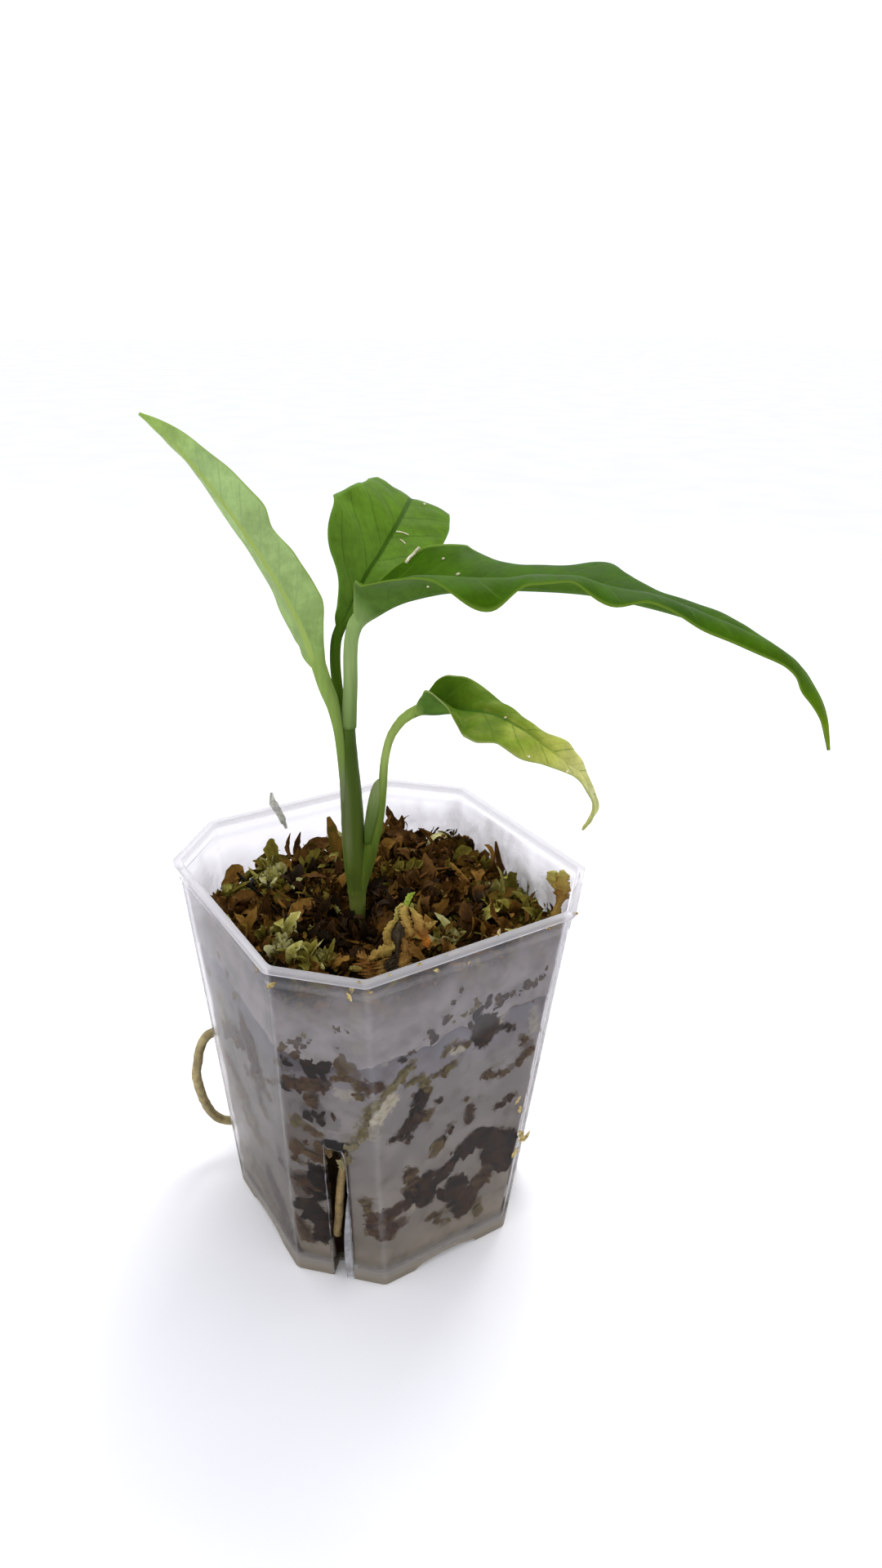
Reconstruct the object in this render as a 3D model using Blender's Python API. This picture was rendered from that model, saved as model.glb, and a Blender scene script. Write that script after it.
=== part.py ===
# Potted young monstera: a frosted nursery pot with cut corners, filled with moss, and a plant of four leaves.
# Sizes are in millimetres until a mesh is made. The origin is the centre of the pot's foot, +Z is up.
# Points of the plant are (side, away, up) as seen from the front corner, and are turned into the row's frame.
import math
import random

import bmesh
import bpy
import numpy as np
from mathutils import Vector, noise

MM = 0.001
GAP = 0.3
SEED = 7
PLANT_TURN = math.radians(-32.3)
CORNERS = ((-1, -1), (1, -1), (1, 1), (-1, 1))

# Pot
POT_HEIGHT = 81.0
BASE_HALF = 28.1
TOP_HALF = 34.2
BASE_CUT = 13.4
TOP_CUT = 12.4
WALL = 0.75
FLOOR = 0.8
RIM_OUT = 0.8
RIM_HIGH = 1.3
RIDGE_OUT = 0.25
RIDGE_LEVEL = 76.8
RIDGE_HIGH = 0.6
EDGE_ROUND = 1.6
EDGE_STEPS = 3
SLOT_TOP = 38.0
SLOT_TOP_WIDE = 4.2
SLOT_FOOT_WIDE = 4.4
SLOT_SHIFT = 0.6
SLOT_BEVEL = 4.0
SLOT_DEEP = 4.0
ARCH_WIDE = 16.0
ARCH_HIGH = 2.0
ARCH_HOOD = 0.8

ARCH_STEPS = 10
ARCH_TAPER = ((4.0, 1.0), (-4.0, 0.9), (-8.0, 0.55))

# Moss
MOSS_FLOOR = 3.15
MOSS_LEVEL = 66.0
MOSS_SIDES = 56
MOSS_LEVELS = 8
MOSS_RINGS = 9
MOSS_RELIEF = 1.7
MOSS_INSET = 0.1
MOSS_RADIUS = 33.0
MOSS_MOUND = 1.6
MOSS_SLOPE = 0.095
MOSS_BUMP = 2.2
RECESS_WIDE = 5.0
RECESS_DEEP = 3.1
RECESS_LOW = 5.0
RECESS_HIGH = 37.0
STRANDS = 38
STRAND_SIDES = 4
STRAND_ROOT = 1.8
STRAND_LENGTH = (6.5, 11.0)
STRAND_RADIUS = (1.3, 2.2)
STRAND_LEAN = (0.25, 1.1)
STRAND_CURL = 0.7
STRAND_TAPER = 0.24
STRAND_INSET = 2.2
# x, y and radius of the places that strands keep clear of: the stem and the sprigs
STRANDS_CLEAR = ((-3.1, 3.7, 6.5), (-7.0, -17.5, 6.5), (28.3, -19.9, 4.5), (-11.5, -15.2, 5.0))

# Leaves: half-width, fold from the face at the midrib, and the further bend out to the margin (degrees)
BLADE = 0.7
BLADE_START = 0.12
LEAF_COLUMNS = 4
PETIOLE_ROWS = 9
BLADE_ROWS = 27
LEAF_LONG = {
    "petiole": [(-5.6, -0.5, 112.0), (-5.1, -1.0, 118.7), (-5.0, -1.0, 125.0), (-4.5, -1.5, 129.0)],
    "blade": [(-3.3, -1.5, 131.5), (-0.2, -3.0, 133.8), (2.7, -5.0, 135.8), (5.6, -7.0, 137.3),
              (9.9, -9.0, 138.9), (13.3, -10.5, 139.8), (21.0, -12.5, 140.8), (32.7, -15.0, 141.1),
              (39.9, -17.0, 140.5), (49.7, -19.0, 138.6), (59.7, -21.0, 135.5), (65.7, -21.0, 132.6),
              (69.4, -20.5, 129.6), (72.9, -20.0, 125.5), (75.9, -19.0, 120.9), (78.5, -18.0, 114.7)],
    "radius": [(0, 1.5), (0.3, 1.35), (0.8, 1.3), (1, 1.5)],
    "face": [(0, -0.1, 0.1, 1), (0.3, 0.05, 0.1, 1), (0.8, 0.3, 0.1, 1), (1, 0.9, 0.0, 0.5)],
    "left": [(0, 1.5), (0.06, 6.6), (0.14, 12), (0.23, 13.8), (0.33, 11), (0.4, 10.4), (0.46, 12), (0.55, 9),
             (0.65, 7.6), (0.75, 5.6), (0.9, 3.6), (1, 0.3)],
    "right": [(0, 1.5), (0.06, 7), (0.14, 10.4), (0.2, 11.6), (0.29, 14.6), (0.4, 13.6), (0.55, 12),
              (0.75, 7.6), (0.9, 4), (1, 0.3)],
    "fold_left": [(0, 0), (0.03, 35), (1, 35)],
    "fold_right": [(0, 0), (0.03, 35), (1, 35)],
    "bend_left": [(0, 0), (0.03, 40), (0.1, 22), (0.2, -20), (0.3, -50), (0.45, -32), (0.57, -58),
                  (0.68, -48), (0.76, -55), (0.86, -10), (1, 15)],
    "bend_right": [(0, 0), (0.05, 34), (0.1, -22), (0.2, -38), (0.3, -92), (0.36, -52), (0.43, -46),
                   (0.49, -70), (0.54, -52), (0.64, -74), (0.7, -82), (0.76, -84), (0.85, -118), (1, -110)],
    "rib": 0.7,
}
LEAF_LOW = {
    "petiole": [(-3.3, 1.2, 72.4), (-1.1, 1.0, 83.6), (0.1, 0.5, 92.9), (1.0, 0.0, 101.9), (2.3, -1.0, 108.3),
                (4.4, -1.5, 112.3)],
    "blade": [(7.3, -2.0, 114.5), (10.2, -4.0, 115.2), (13.1, -6.0, 116.1), (15.5, -7.0, 116.4),
              (18.7, -8.0, 116.6), (21.7, -9.5, 116.4), (24.7, -11.0, 115.4), (27.7, -12.5, 114.0),
              (31.4, -13.5, 111.4), (33.9, -14.0, 109.7), (36.2, -14.0, 108.0), (37.8, -13.5, 105.8),
              (39.5, -12.5, 102.5), (40.1, -11.0, 98.8), (38.9, -8.0, 93.4)],
    "radius": [(0, 1.3), (0.25, 1.9), (0.5, 1.4), (0.66, 0.95), (0.9, 0.9), (1, 1.1)],
    "face": [(0, 0.1, -0.3, 1), (0.3, 0.3, -0.6, 1), (0.7, 0.5, -0.7, 1), (0.85, 1, -0.5, 0.3),
             (1, 1, -0.4, -0.3)],
    "left": [(0, 1.1), (0.05, 4.2), (0.12, 7), (0.2, 7), (0.3, 6.4), (0.45, 5.6), (0.58, 5.6), (0.7, 2.6),
             (0.76, 1.2), (0.88, 1.3), (1, 0.3)],
    "right": [(0, 1.1), (0.05, 3.6), (0.12, 5.8), (0.18, 5.6), (0.25, 8.4), (0.33, 9.6), (0.4, 7), (0.46, 7.2),
              (0.55, 4), (0.66, 2), (0.76, 1.4), (0.88, 1.4), (1, 0.3)],
    "fold_left": [(0, 0), (0.05, 60), (0.15, 35), (0.3, 20), (0.8, 15), (0.9, 30), (1, 30)],
    "fold_right": [(0, 0), (0.05, 75), (0.12, 70), (0.17, 50), (0.23, 14), (1, 10)],
    "bend_left": [(0, 0), (0.15, -15), (0.3, -85), (0.45, -110), (0.58, -60), (0.75, -50), (0.9, 0), (1, 0)],
    "bend_right": [(0, 0), (1, 0)],
    "rib": 0.6,
}
LEAF_BACK = {
    "petiole": [(-6.9, 2.1, 106.9), (-7.6, 2.7, 114.1), (-8.2, 3.2, 121.2), (-8.0, 3.5, 125.8)],
    "blade": [(-7.1, 3.5, 128.5), (-6.0, 4.0, 130.9), (-5.0, 5.0, 132.9), (-3.7, 8.0, 135.2),
              (-2.1, 11.0, 137.7), (-0.4, 15.0, 139.7), (1.1, 19.0, 141.8), (2.6, 23.0, 143.8),
              (3.9, 29.0, 145.4), (4.7, 36.0, 146.0), (5.0, 44.0, 144.8), (5.0, 53.0, 142.4),
              (4.7, 61.0, 138.6)],
    "radius": [(0, 1.0), (1, 1.0)],
    "face": [(0, 0.1, -0.9, 0.4), (0.35, 0.25, -0.87, 0.4), (0.6, 0.35, -0.4, 0.9), (0.8, 0.3, 0, 1),
             (1, 0.2, 0.4, 0.9)],
    "left": [(0, 1), (0.06, 3.5), (0.14, 8), (0.22, 12.4), (0.28, 14.4), (0.35, 12), (0.44, 9.4), (0.6, 8.4),
             (0.8, 7), (0.93, 3.5), (1, 0.3)],
    "right": [(0, 1), (0.06, 1.6), (0.14, 5), (0.25, 8.4), (0.38, 9.8), (0.5, 9.8), (0.62, 9), (0.8, 7),
              (0.93, 4), (1, 0.3)],
    "fold_left": [(0, 0), (0.05, 45), (0.15, 30), (0.6, 8), (1, 4)],
    "fold_right": [(0, 0), (0.05, 40), (0.15, 22), (0.6, 4), (1, 4)],
    "bend_left": [(0, 0), (1, 0)],
    "bend_right": [(0, 0), (0.3, 0), (0.5, -10), (1, -10)],
    "rib": 0.5,
}
LEAF_YOUNG = {
    "petiole": [(-6.9, -1.6, 105.5), (-7.5, -1.6, 110.8), (-8.4, -1.3, 115.2), (-9.8, -1.0, 118.9)],
    "blade": [(-10.9, -0.5, 122.4), (-12.2, 0.0, 125.8), (-14.3, 1.5, 130.2), (-16.5, 3.0, 133.9),
              (-19.9, 5.0, 139.0), (-23.9, 7.0, 144.4), (-26.7, 8.0, 148.1), (-30.8, 9.0, 153.3),
              (-35.7, 10.0, 158.8), (-39.8, 10.5, 162.5), (-42.5, 11.0, 164.6)],
    "radius": [(0, 1.1), (0.5, 1.4), (1, 1.4)],
    "face": [(0, 0.3, 0.9, 0.2), (1, 0.35, 0.87, 0.3)],
    "left": [(0, 1.4), (0.06, 2.4), (0.12, 3.7), (0.2, 5.6), (0.35, 5.4), (0.46, 4.5), (0.54, 5.7), (0.67, 4.7),
             (0.8, 3.3), (0.92, 1.8), (1, 0.3)],
    "right": [(0, 1.4), (0.06, 4), (0.13, 7), (0.27, 8.4), (0.4, 6), (0.47, 5.2), (0.57, 6.8), (0.7, 3.6),
              (0.8, 2.4), (0.87, 3), (0.95, 1.4), (1, 0.3)],
    "fold_left": [(0, 0), (0.1, 26), (1, 28)],
    "fold_right": [(0, 0), (0.1, 34), (1, 36)],
    "bend_left": [(0, 0), (1, 0)],
    "bend_right": [(0, 0), (1, 0)],
    "rib": 0.7,
}

# Stem, roots and sprigs: (x, y, z, radius)
STEM = [(-4.6, 1.5, 57.0, 1.5), (-4.6, 1.5, 66.0, 1.9), (-4.7, 1.5, 71.9, 2.0), (-5.0, 1.0, 81.7, 2.3),
        (-5.4, 0.5, 94.6, 2.2), (-5.7, 0.0, 105.2, 2.0), (-5.6, -0.5, 110.4, 1.85), (-5.6, -0.5, 111.6, 1.85)]
ROOT_LOOP = [(-17.5, 17.5, 33.0, 0.9), (-21.5, 21.5, 34.6, 1.0), (-25.0, 24.6, 34.4, 1.05),
             (-29.0, 26.7, 32.6, 1.05), (-31.1, 26.8, 30.2, 1.05), (-32.3, 26.3, 26.4, 1.05),
             (-32.9, 26.1, 23.4, 1.05), (-32.5, 25.9, 19.6, 1.05), (-31.7, 26.0, 15.7, 1.05),
             (-30.3, 25.7, 11.7, 1.05), (-28.0, 25.2, 8.9, 1.0), (-24.0, 23.5, 7.8, 0.95),
             (-20.0, 20.0, 8.4, 0.9), (-16.5, 16.5, 9.5, 0.7)]
ROOT_SLOT = [(-17.6, -15.6, 7.6, 0.6), (-19.8, -17.6, 8.4, 0.8), (-21.6, -20.4, 12.0, 0.8),
             (-21.5, -21.2, 17.1, 0.85), (-21.5, -22.2, 25.1, 0.85), (-21.3, -23.4, 31.3, 0.8),
             (-20.2, -25.4, 38.4, 0.75), (-17.5, -29.0, 49.2, 0.7), (-13.4, -30.1, 54.2, 0.65),
             (-10.4, -29.3, 56.0, 0.55), (-8.0, -26.4, 57.0, 0.45)]
SPRIG_FRONT = [
    [(-8.6, -16.6, 64.0, 1.5), (-8.3, -17.0, 69.5, 1.9), (-7.4, -17.6, 75.3, 1.8), (-5.8, -18.4, 80.5, 1.2),
     (-4.7, -19.2, 84.5, 0.4)],
    [(-6.6, -18.0, 78.6, 0.9), (-4.2, -19.4, 79.8, 1.4), (-2.3, -20.7, 77.6, 1.4), (-1.6, -21.2, 74.8, 0.5)],
    [(-3.6, -19.9, 78.8, 0.9), (-0.9, -21.3, 78.9, 0.3)],
    [(-8.2, -17.0, 71.0, 1.1), (-10.4, -15.9, 71.6, 1.9), (-12.4, -14.7, 71.4, 1.5), (-13.6, -14.0, 71.2, 0.4)],
    [(-7.6, -17.4, 73.8, 1.0), (-9.8, -16.4, 75.2, 1.2), (-10.6, -15.8, 73.0, 0.5)],
    [(-8.2, -17.2, 70.0, 1.1), (-6.4, -18.0, 70.6, 1.5), (-5.0, -18.6, 71.6, 0.5)],
]
SPRIG_SIDE = [
    [(29.1, -20.3, 64.0, 0.8), (28.7, -20.1, 70.0, 0.9), (28.5, -20.0, 74.4, 0.8), (28.9, -20.3, 76.6, 1.3),
     (29.3, -20.5, 78.6, 1.2), (29.1, -20.4, 79.6, 0.7)],
    [(28.9, -20.3, 76.6, 0.9), (30.5, -21.2, 77.6, 1.1), (31.2, -21.6, 77.9, 0.6)],
    [(28.9, -20.3, 76.2, 0.9), (27.7, -19.7, 77.8, 1.0), (27.5, -19.6, 78.8, 0.5)],
]
SPRIG_ROWS = 6
SPRIG_SIDES = 6
SPRIG_EXTRA_GAP = 0.15
MOSS_TUFTS = [
    [(18.0, -18.0, 27.0, 1.2), (21.5, -21.5, 24.6, 1.4), (24.9, -24.9, 22.6, 1.1), (25.3, -25.2, 21.4, 0.5)],
    [(18.0, -18.0, 18.0, 1.1), (21.5, -21.5, 17.0, 1.3), (24.2, -24.3, 16.0, 1.0), (24.3, -24.4, 14.8, 0.5)],
]

# Colour, roughness and opacity of each node
FINISH = {
    "pot": ((0.78, 0.79, 0.86), 0.35, 0.55),
    "moss": ((0.12, 0.075, 0.025), 0.9, 1.0),
    "stem": ((0.13, 0.27, 0.05), 0.4, 1.0),
    "leaf_long": ((0.07, 0.2, 0.03), 0.4, 1.0),
    "leaf_back": ((0.09, 0.24, 0.04), 0.4, 1.0),
    "leaf_young": ((0.3, 0.46, 0.12), 0.4, 1.0),
    "leaf_low": ((0.3, 0.42, 0.08), 0.4, 1.0),
    "root_loop": ((0.24, 0.19, 0.1), 0.7, 1.0),
    "root_slot": ((0.4, 0.26, 0.07), 0.6, 1.0),
    "moss_sprig_front": ((0.42, 0.3, 0.07), 0.85, 1.0),
    "moss_sprig_side": ((0.42, 0.38, 0.08), 0.85, 1.0),
}


def turned(points):
    # (side, away, up) to the row's x, y, z
    p = np.asarray(points, float)
    c = math.cos(PLANT_TURN)
    s = math.sin(PLANT_TURN)
    out = p.copy()
    out[..., 0] = p[..., 0] * c - p[..., 1] * s
    out[..., 1] = p[..., 0] * s + p[..., 1] * c
    return out


def smooth_line(points, count, start=0.0, end=1.0):
    # A smooth curve through the points, sampled evenly by length between two fractions of it
    p = np.asarray(points, float)
    ends = np.vstack([2 * p[0] - p[1], p, 2 * p[-1] - p[-2]])
    dense = []
    for i in range(len(p) - 1):
        a, b, c, d = ends[i:i + 4]
        for t in np.linspace(0, 1, 12, endpoint=False):
            dense.append(0.5 * (2 * b + (c - a) * t + (2 * a - 5 * b + 4 * c - d) * t ** 2
                                + (3 * b - a - 3 * c + d) * t ** 3))
    dense.append(p[-1])
    dense = np.array(dense)
    run = np.concatenate([[0], np.cumsum(np.linalg.norm(np.diff(dense[:, :3], axis=0), axis=1))])
    at = np.linspace(start * run[-1], end * run[-1], count)
    return np.stack([np.interp(at, run, dense[:, k]) for k in range(dense.shape[1])], 1)


def keyed(keys, t):
    # Values between the keys, eased
    k = np.asarray(keys, float)
    i = np.clip(np.searchsorted(k[:, 0], t, side="right") - 1, 0, len(k) - 2)
    f = np.clip((t - k[i, 0]) / (k[i + 1, 0] - k[i, 0]), 0, 1)
    f = f * f * (3 - 2 * f)
    return k[i, 1:].T * (1 - f) + k[i + 1, 1:].T * f


def unit(rows):
    return rows / np.linalg.norm(rows, axis=1)[:, None]


def mesh_object(name, vertices, faces):
    mesh = bpy.data.meshes.new(name)
    mesh.from_pydata([Vector(v) * MM for v in vertices], [], faces)
    obj = bpy.data.objects.new(name, mesh)
    bpy.context.scene.collection.objects.link(obj)
    bm = bmesh.new()
    bm.from_mesh(mesh)
    bmesh.ops.recalc_face_normals(bm, faces=bm.faces)
    bm.to_mesh(mesh)
    bm.free()
    return obj


def ring_loft(name, rings, smooth=True):
    # A closed solid through rings of equal count, with flat ends
    count = len(rings[0])
    vertices = [v for ring in rings for v in ring]
    faces = []
    for i in range(len(rings) - 1):
        for j in range(count):
            k = (j + 1) % count
            faces.append((i * count + j, i * count + k, (i + 1) * count + k, (i + 1) * count + j))
    faces.append(tuple(range(count))[::-1])
    faces.append(tuple((len(rings) - 1) * count + j for j in range(count)))
    obj = mesh_object(name, vertices, faces)
    for face in obj.data.polygons:
        face.use_smooth = smooth
    return obj


def tube(name, points, rows, sides, grow=0.0):
    # A round rod of changing radius along a smooth curve
    line = smooth_line(points, rows)
    centre = line[:, :3]
    along = unit(np.gradient(centre, axis=0))
    if grow:
        centre = centre.copy()
        centre[0] -= along[0] * grow
        centre[-1] += along[-1] * grow
    across = unit(np.cross(along, np.tile([0.31, 0.9, 0.12], (rows, 1))))
    other = np.cross(along, across)
    rings = []
    for i in range(rows):
        ring = []
        for k in range(sides):
            a = 2 * math.pi * k / sides
            ring.append(centre[i] + (line[i, 3] + grow) * (math.cos(a) * across[i] + math.sin(a) * other[i]))
        rings.append(ring)
    return ring_loft(name, rings)


def boolean(obj, others, operation):
    # One exact Boolean on a collection of helpers, which are then removed
    group = bpy.data.collections.new("helpers")
    bpy.context.scene.collection.children.link(group)
    for other in others:
        bpy.context.scene.collection.objects.unlink(other)
        group.objects.link(other)
        other.hide_render = True
        other.display_type = "WIRE"
    modifier = obj.modifiers.new("boolean", "BOOLEAN")
    modifier.operation = operation
    modifier.solver = "EXACT"
    modifier.operand_type = "COLLECTION"
    modifier.collection = group
    modifier.use_self = operation == "UNION"
    bpy.context.view_layer.update()
    shape = bpy.data.meshes.new_from_object(obj.evaluated_get(bpy.context.evaluated_depsgraph_get()))
    obj.modifiers.clear()
    old = obj.data
    obj.data = shape
    shape.name = obj.name
    bpy.data.meshes.remove(old)
    for other in list(group.objects):
        bpy.data.objects.remove(other, do_unlink=True)
    bpy.data.collections.remove(group)


def dress(obj, name):
    colour, roughness, alpha = FINISH[name]
    material = bpy.data.materials.new(name)
    material.use_nodes = True
    shader = material.node_tree.nodes["Principled BSDF"]
    shader.inputs["Base Color"].default_value = (*colour, 1)
    shader.inputs["Roughness"].default_value = roughness
    shader.inputs["Alpha"].default_value = alpha
    obj.data.materials.clear()
    obj.data.materials.append(material)


def octagon(half, cut, z, rounding=EDGE_ROUND, steps=EDGE_STEPS):
    # Ring of a square with cut corners, its eight edges rounded
    e = half - cut
    corners = [(-half, -e), (-e, -half), (e, -half), (half, -e), (half, e), (e, half), (-e, half), (-half, e)]
    ring = []
    for i in range(8):
        here = Vector(corners[i])
        before = (Vector(corners[i - 1]) - here).normalized()
        after = (Vector(corners[(i + 1) % 8]) - here).normalized()
        reach = rounding * math.tan(math.pi / 8)
        a = here + before * reach
        b = here + after * reach
        for k in range(steps):
            t = k / (steps - 1)
            p = a * (1 - t) ** 2 + here * 2 * t * (1 - t) + b * t ** 2
            ring.append((p.x, p.y, z))
    return ring


def half_at(z):
    return BASE_HALF + (TOP_HALF - BASE_HALF) * z / POT_HEIGHT


def cut_at(z):
    return BASE_CUT + (TOP_CUT - BASE_CUT) * z / POT_HEIGHT


def wall_ring(z, out=0.0):
    # Pushing a wall out by a distance keeps the cut faces parallel to themselves
    return octagon(half_at(z) + out, cut_at(z) + out * (2 - math.sqrt(2)), z)


def arch_cutter(face, grow):
    # A low arch in the foot of one long face, narrowing inwards
    outline = []
    for k in range(ARCH_STEPS + 1):
        a = math.pi * k / ARCH_STEPS
        outline.append((-math.cos(a) * (ARCH_WIDE / 2 + grow), math.sin(a) * (ARCH_HIGH + grow)))
    turn = math.radians(90 * face)
    rings = []
    for beyond, share in ARCH_TAPER:
        reach = BASE_HALF + beyond + (grow if beyond > 0 else -grow)
        ring = []
        for u, v in outline + [(ARCH_WIDE / 2 + grow, -2.0), (-ARCH_WIDE / 2 - grow, -2.0)]:
            u = u * share
            v = v * share if v > 0 else v
            ring.append((u * math.cos(turn) + reach * math.sin(turn),
                         u * math.sin(turn) - reach * math.cos(turn), v))
        rings.append(ring)
    return ring_loft("arch", rings, smooth=False)


def slot_cutter(corner):
    # Tapered opening in a cut corner, wider at the foot
    out = Vector((corner[0], corner[1], 0)).normalized()
    side = Vector((-out.y, out.x, 0))
    face = (2 * BASE_HALF - BASE_CUT) / math.sqrt(2)
    rings = []
    for reach in (face - SLOT_DEEP, face + 9.0):
        ring = []
        for u, z in ((-SLOT_FOOT_WIDE / 2, -1.0), (SLOT_FOOT_WIDE / 2, -1.0),
                     (SLOT_TOP_WIDE / 2, SLOT_TOP - SLOT_BEVEL), (SLOT_TOP_WIDE * 0.1, SLOT_TOP),
                     (-SLOT_TOP_WIDE * 0.35, SLOT_TOP), (-SLOT_TOP_WIDE / 2, SLOT_TOP - SLOT_BEVEL / 3)):
            ring.append(out * reach + side * (u + SLOT_SHIFT) + Vector((0, 0, z)))
        rings.append(ring)
    return ring_loft("slot", rings, smooth=False)


def build_pot():
    top = POT_HEIGHT
    ridge = RIDGE_LEVEL
    rings = [wall_ring(0.0), wall_ring(ridge), wall_ring(ridge + 0.2, RIDGE_OUT),
             wall_ring(ridge + RIDGE_HIGH, RIDGE_OUT), wall_ring(ridge + RIDGE_HIGH + 0.2),
             wall_ring(top - RIM_HIGH), wall_ring(top - RIM_HIGH + 0.05, RIM_OUT),
             wall_ring(top - 0.3, RIM_OUT), wall_ring(top, RIM_OUT - 0.3)]
    pot = ring_loft("pot", rings, smooth=False)
    arches = [arch_cutter(face, 0.0) for face in range(4)]
    boolean(pot, arches, "DIFFERENCE")
    cavity = ring_loft("cavity", [wall_ring(FLOOR, -WALL), wall_ring(top + 1.0, -WALL)], smooth=False)
    boolean(cavity, [arch_cutter(face, ARCH_HOOD) for face in range(4)], "DIFFERENCE")
    boolean(pot, [cavity], "DIFFERENCE")
    boolean(pot, [slot_cutter(corner) for corner in CORNERS], "DIFFERENCE")
    dress(pot, "pot")


def inner_reach(angle, z):
    # Distance from the pot's axis to the inside of its wall
    half = half_at(z) - WALL
    slant = (2 * half_at(z) - cut_at(z)) / math.sqrt(2) - WALL
    flat = half / max(abs(math.cos(angle)), abs(math.sin(angle)))
    near = min(abs(math.cos(angle - math.pi / 4)), abs(math.cos(angle + math.pi / 4)))
    corner = slant / max(math.sqrt(1 - near ** 2), 0.01)
    return min(flat, corner)


def root_recess():
    # The moss stands back behind the front slot, where the root runs
    out = Vector((-1, -1, 0)).normalized()
    side = Vector((-out.y, out.x, 0))
    rings = []
    for z in (RECESS_LOW, RECESS_HIGH):
        face = (2 * half_at(z) - cut_at(z)) / math.sqrt(2)
        ring = []
        for reach, u in ((-RECESS_DEEP, -0.5), (2.0, -0.5), (2.0, 0.5), (-RECESS_DEEP, 0.5)):
            ring.append(out * (face + reach) + side * (u * RECESS_WIDE + SLOT_SHIFT) + Vector((0, 0, z)))
        rings.append(ring)
    return ring_loft("recess", rings)


def moss_height(x, y):
    edge = min(1.0, math.hypot(x, y) / MOSS_RADIUS)
    away = -x * math.sin(PLANT_TURN) + y * math.cos(PLANT_TURN)
    bump = noise.noise(Vector((x * 0.17, y * 0.17, 3.0)))
    bump += 0.5 * noise.noise(Vector((x * 0.41, y * 0.41, 8.0)))
    return MOSS_LEVEL + MOSS_MOUND * (1 - edge ** 2) + MOSS_SLOPE * away + MOSS_BUMP * bump


def moss_body():
    vertices = []
    for i in range(MOSS_LEVELS + 1):
        for k in range(MOSS_SIDES):
            angle = 2 * math.pi * k / MOSS_SIDES
            rim = inner_reach(angle, MOSS_LEVEL) - GAP - MOSS_INSET
            top = moss_height(rim * math.cos(angle), rim * math.sin(angle))
            z = MOSS_FLOOR + (top - MOSS_FLOOR) * i / MOSS_LEVELS
            where = Vector((math.cos(angle) * 5.2, math.sin(angle) * 5.2, z * 0.16))
            relief = MOSS_RELIEF * max(0.0, noise.noise(where) * 1.4 + 0.15)
            reach = inner_reach(angle, z) - GAP - MOSS_INSET - relief
            vertices.append((reach * math.cos(angle), reach * math.sin(angle), z))
    for i in range(1, MOSS_RINGS):
        for k in range(MOSS_SIDES):
            base = vertices[MOSS_LEVELS * MOSS_SIDES + k]
            share = 1 - i / MOSS_RINGS
            x = base[0] * share
            y = base[1] * share
            vertices.append((x, y, moss_height(x, y)))
    faces = []
    for i in range(MOSS_LEVELS + MOSS_RINGS - 1):
        for k in range(MOSS_SIDES):
            j = (k + 1) % MOSS_SIDES
            a = i * MOSS_SIDES
            b = a + MOSS_SIDES
            faces.append((a + k, a + j, b + j))
            faces.append((a + k, b + j, b + k))
    last = (MOSS_LEVELS + MOSS_RINGS - 1) * MOSS_SIDES
    vertices.append((0.0, 0.0, moss_height(0, 0)))
    middle = len(vertices) - 1
    faces += [(last + k, last + (k + 1) % MOSS_SIDES, middle) for k in range(MOSS_SIDES)]
    faces.append(tuple(range(MOSS_SIDES))[::-1])
    body = mesh_object("moss", vertices, faces)
    for face in body.data.polygons:
        face.use_smooth = True
    return body


def moss_strands():
    # Curled ends of moss that stand out of the surface
    draw = random.Random(SEED)
    made = []
    while len(made) < STRANDS:
        angle = draw.uniform(0, 2 * math.pi)
        share = math.sqrt(draw.uniform(0.03, 1)) * 0.93
        reach = inner_reach(angle, MOSS_LEVEL) * share
        heading = draw.uniform(0, 2 * math.pi)
        lean = draw.uniform(*STRAND_LEAN)
        length = draw.uniform(*STRAND_LENGTH)
        curl = draw.uniform(-STRAND_CURL, STRAND_CURL)
        radius = draw.uniform(*STRAND_RADIUS)
        x = reach * math.cos(angle)
        y = reach * math.sin(angle)
        z = moss_height(x, y) - STRAND_ROOT
        points = []
        for k in range(4):
            points.append((x, y, z, radius * (1 - STRAND_TAPER * k)))
            x += math.cos(heading) * math.sin(lean) * length / 3
            y += math.sin(heading) * math.sin(lean) * length / 3
            z += math.cos(lean) * length / 3
            heading += curl
            lean = min(1.5, lean + 0.18)
        inside = all(math.hypot(p[0], p[1]) < inner_reach(math.atan2(p[1], p[0]), p[2]) - STRAND_INSET
                     for p in points)
        clear = all(math.hypot(p[0] - q[0], p[1] - q[1]) > q[2] for p in points for q in STRANDS_CLEAR)
        if inside and clear:
            made.append(tube("strand", points, 5, STRAND_SIDES))
    return made


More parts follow.
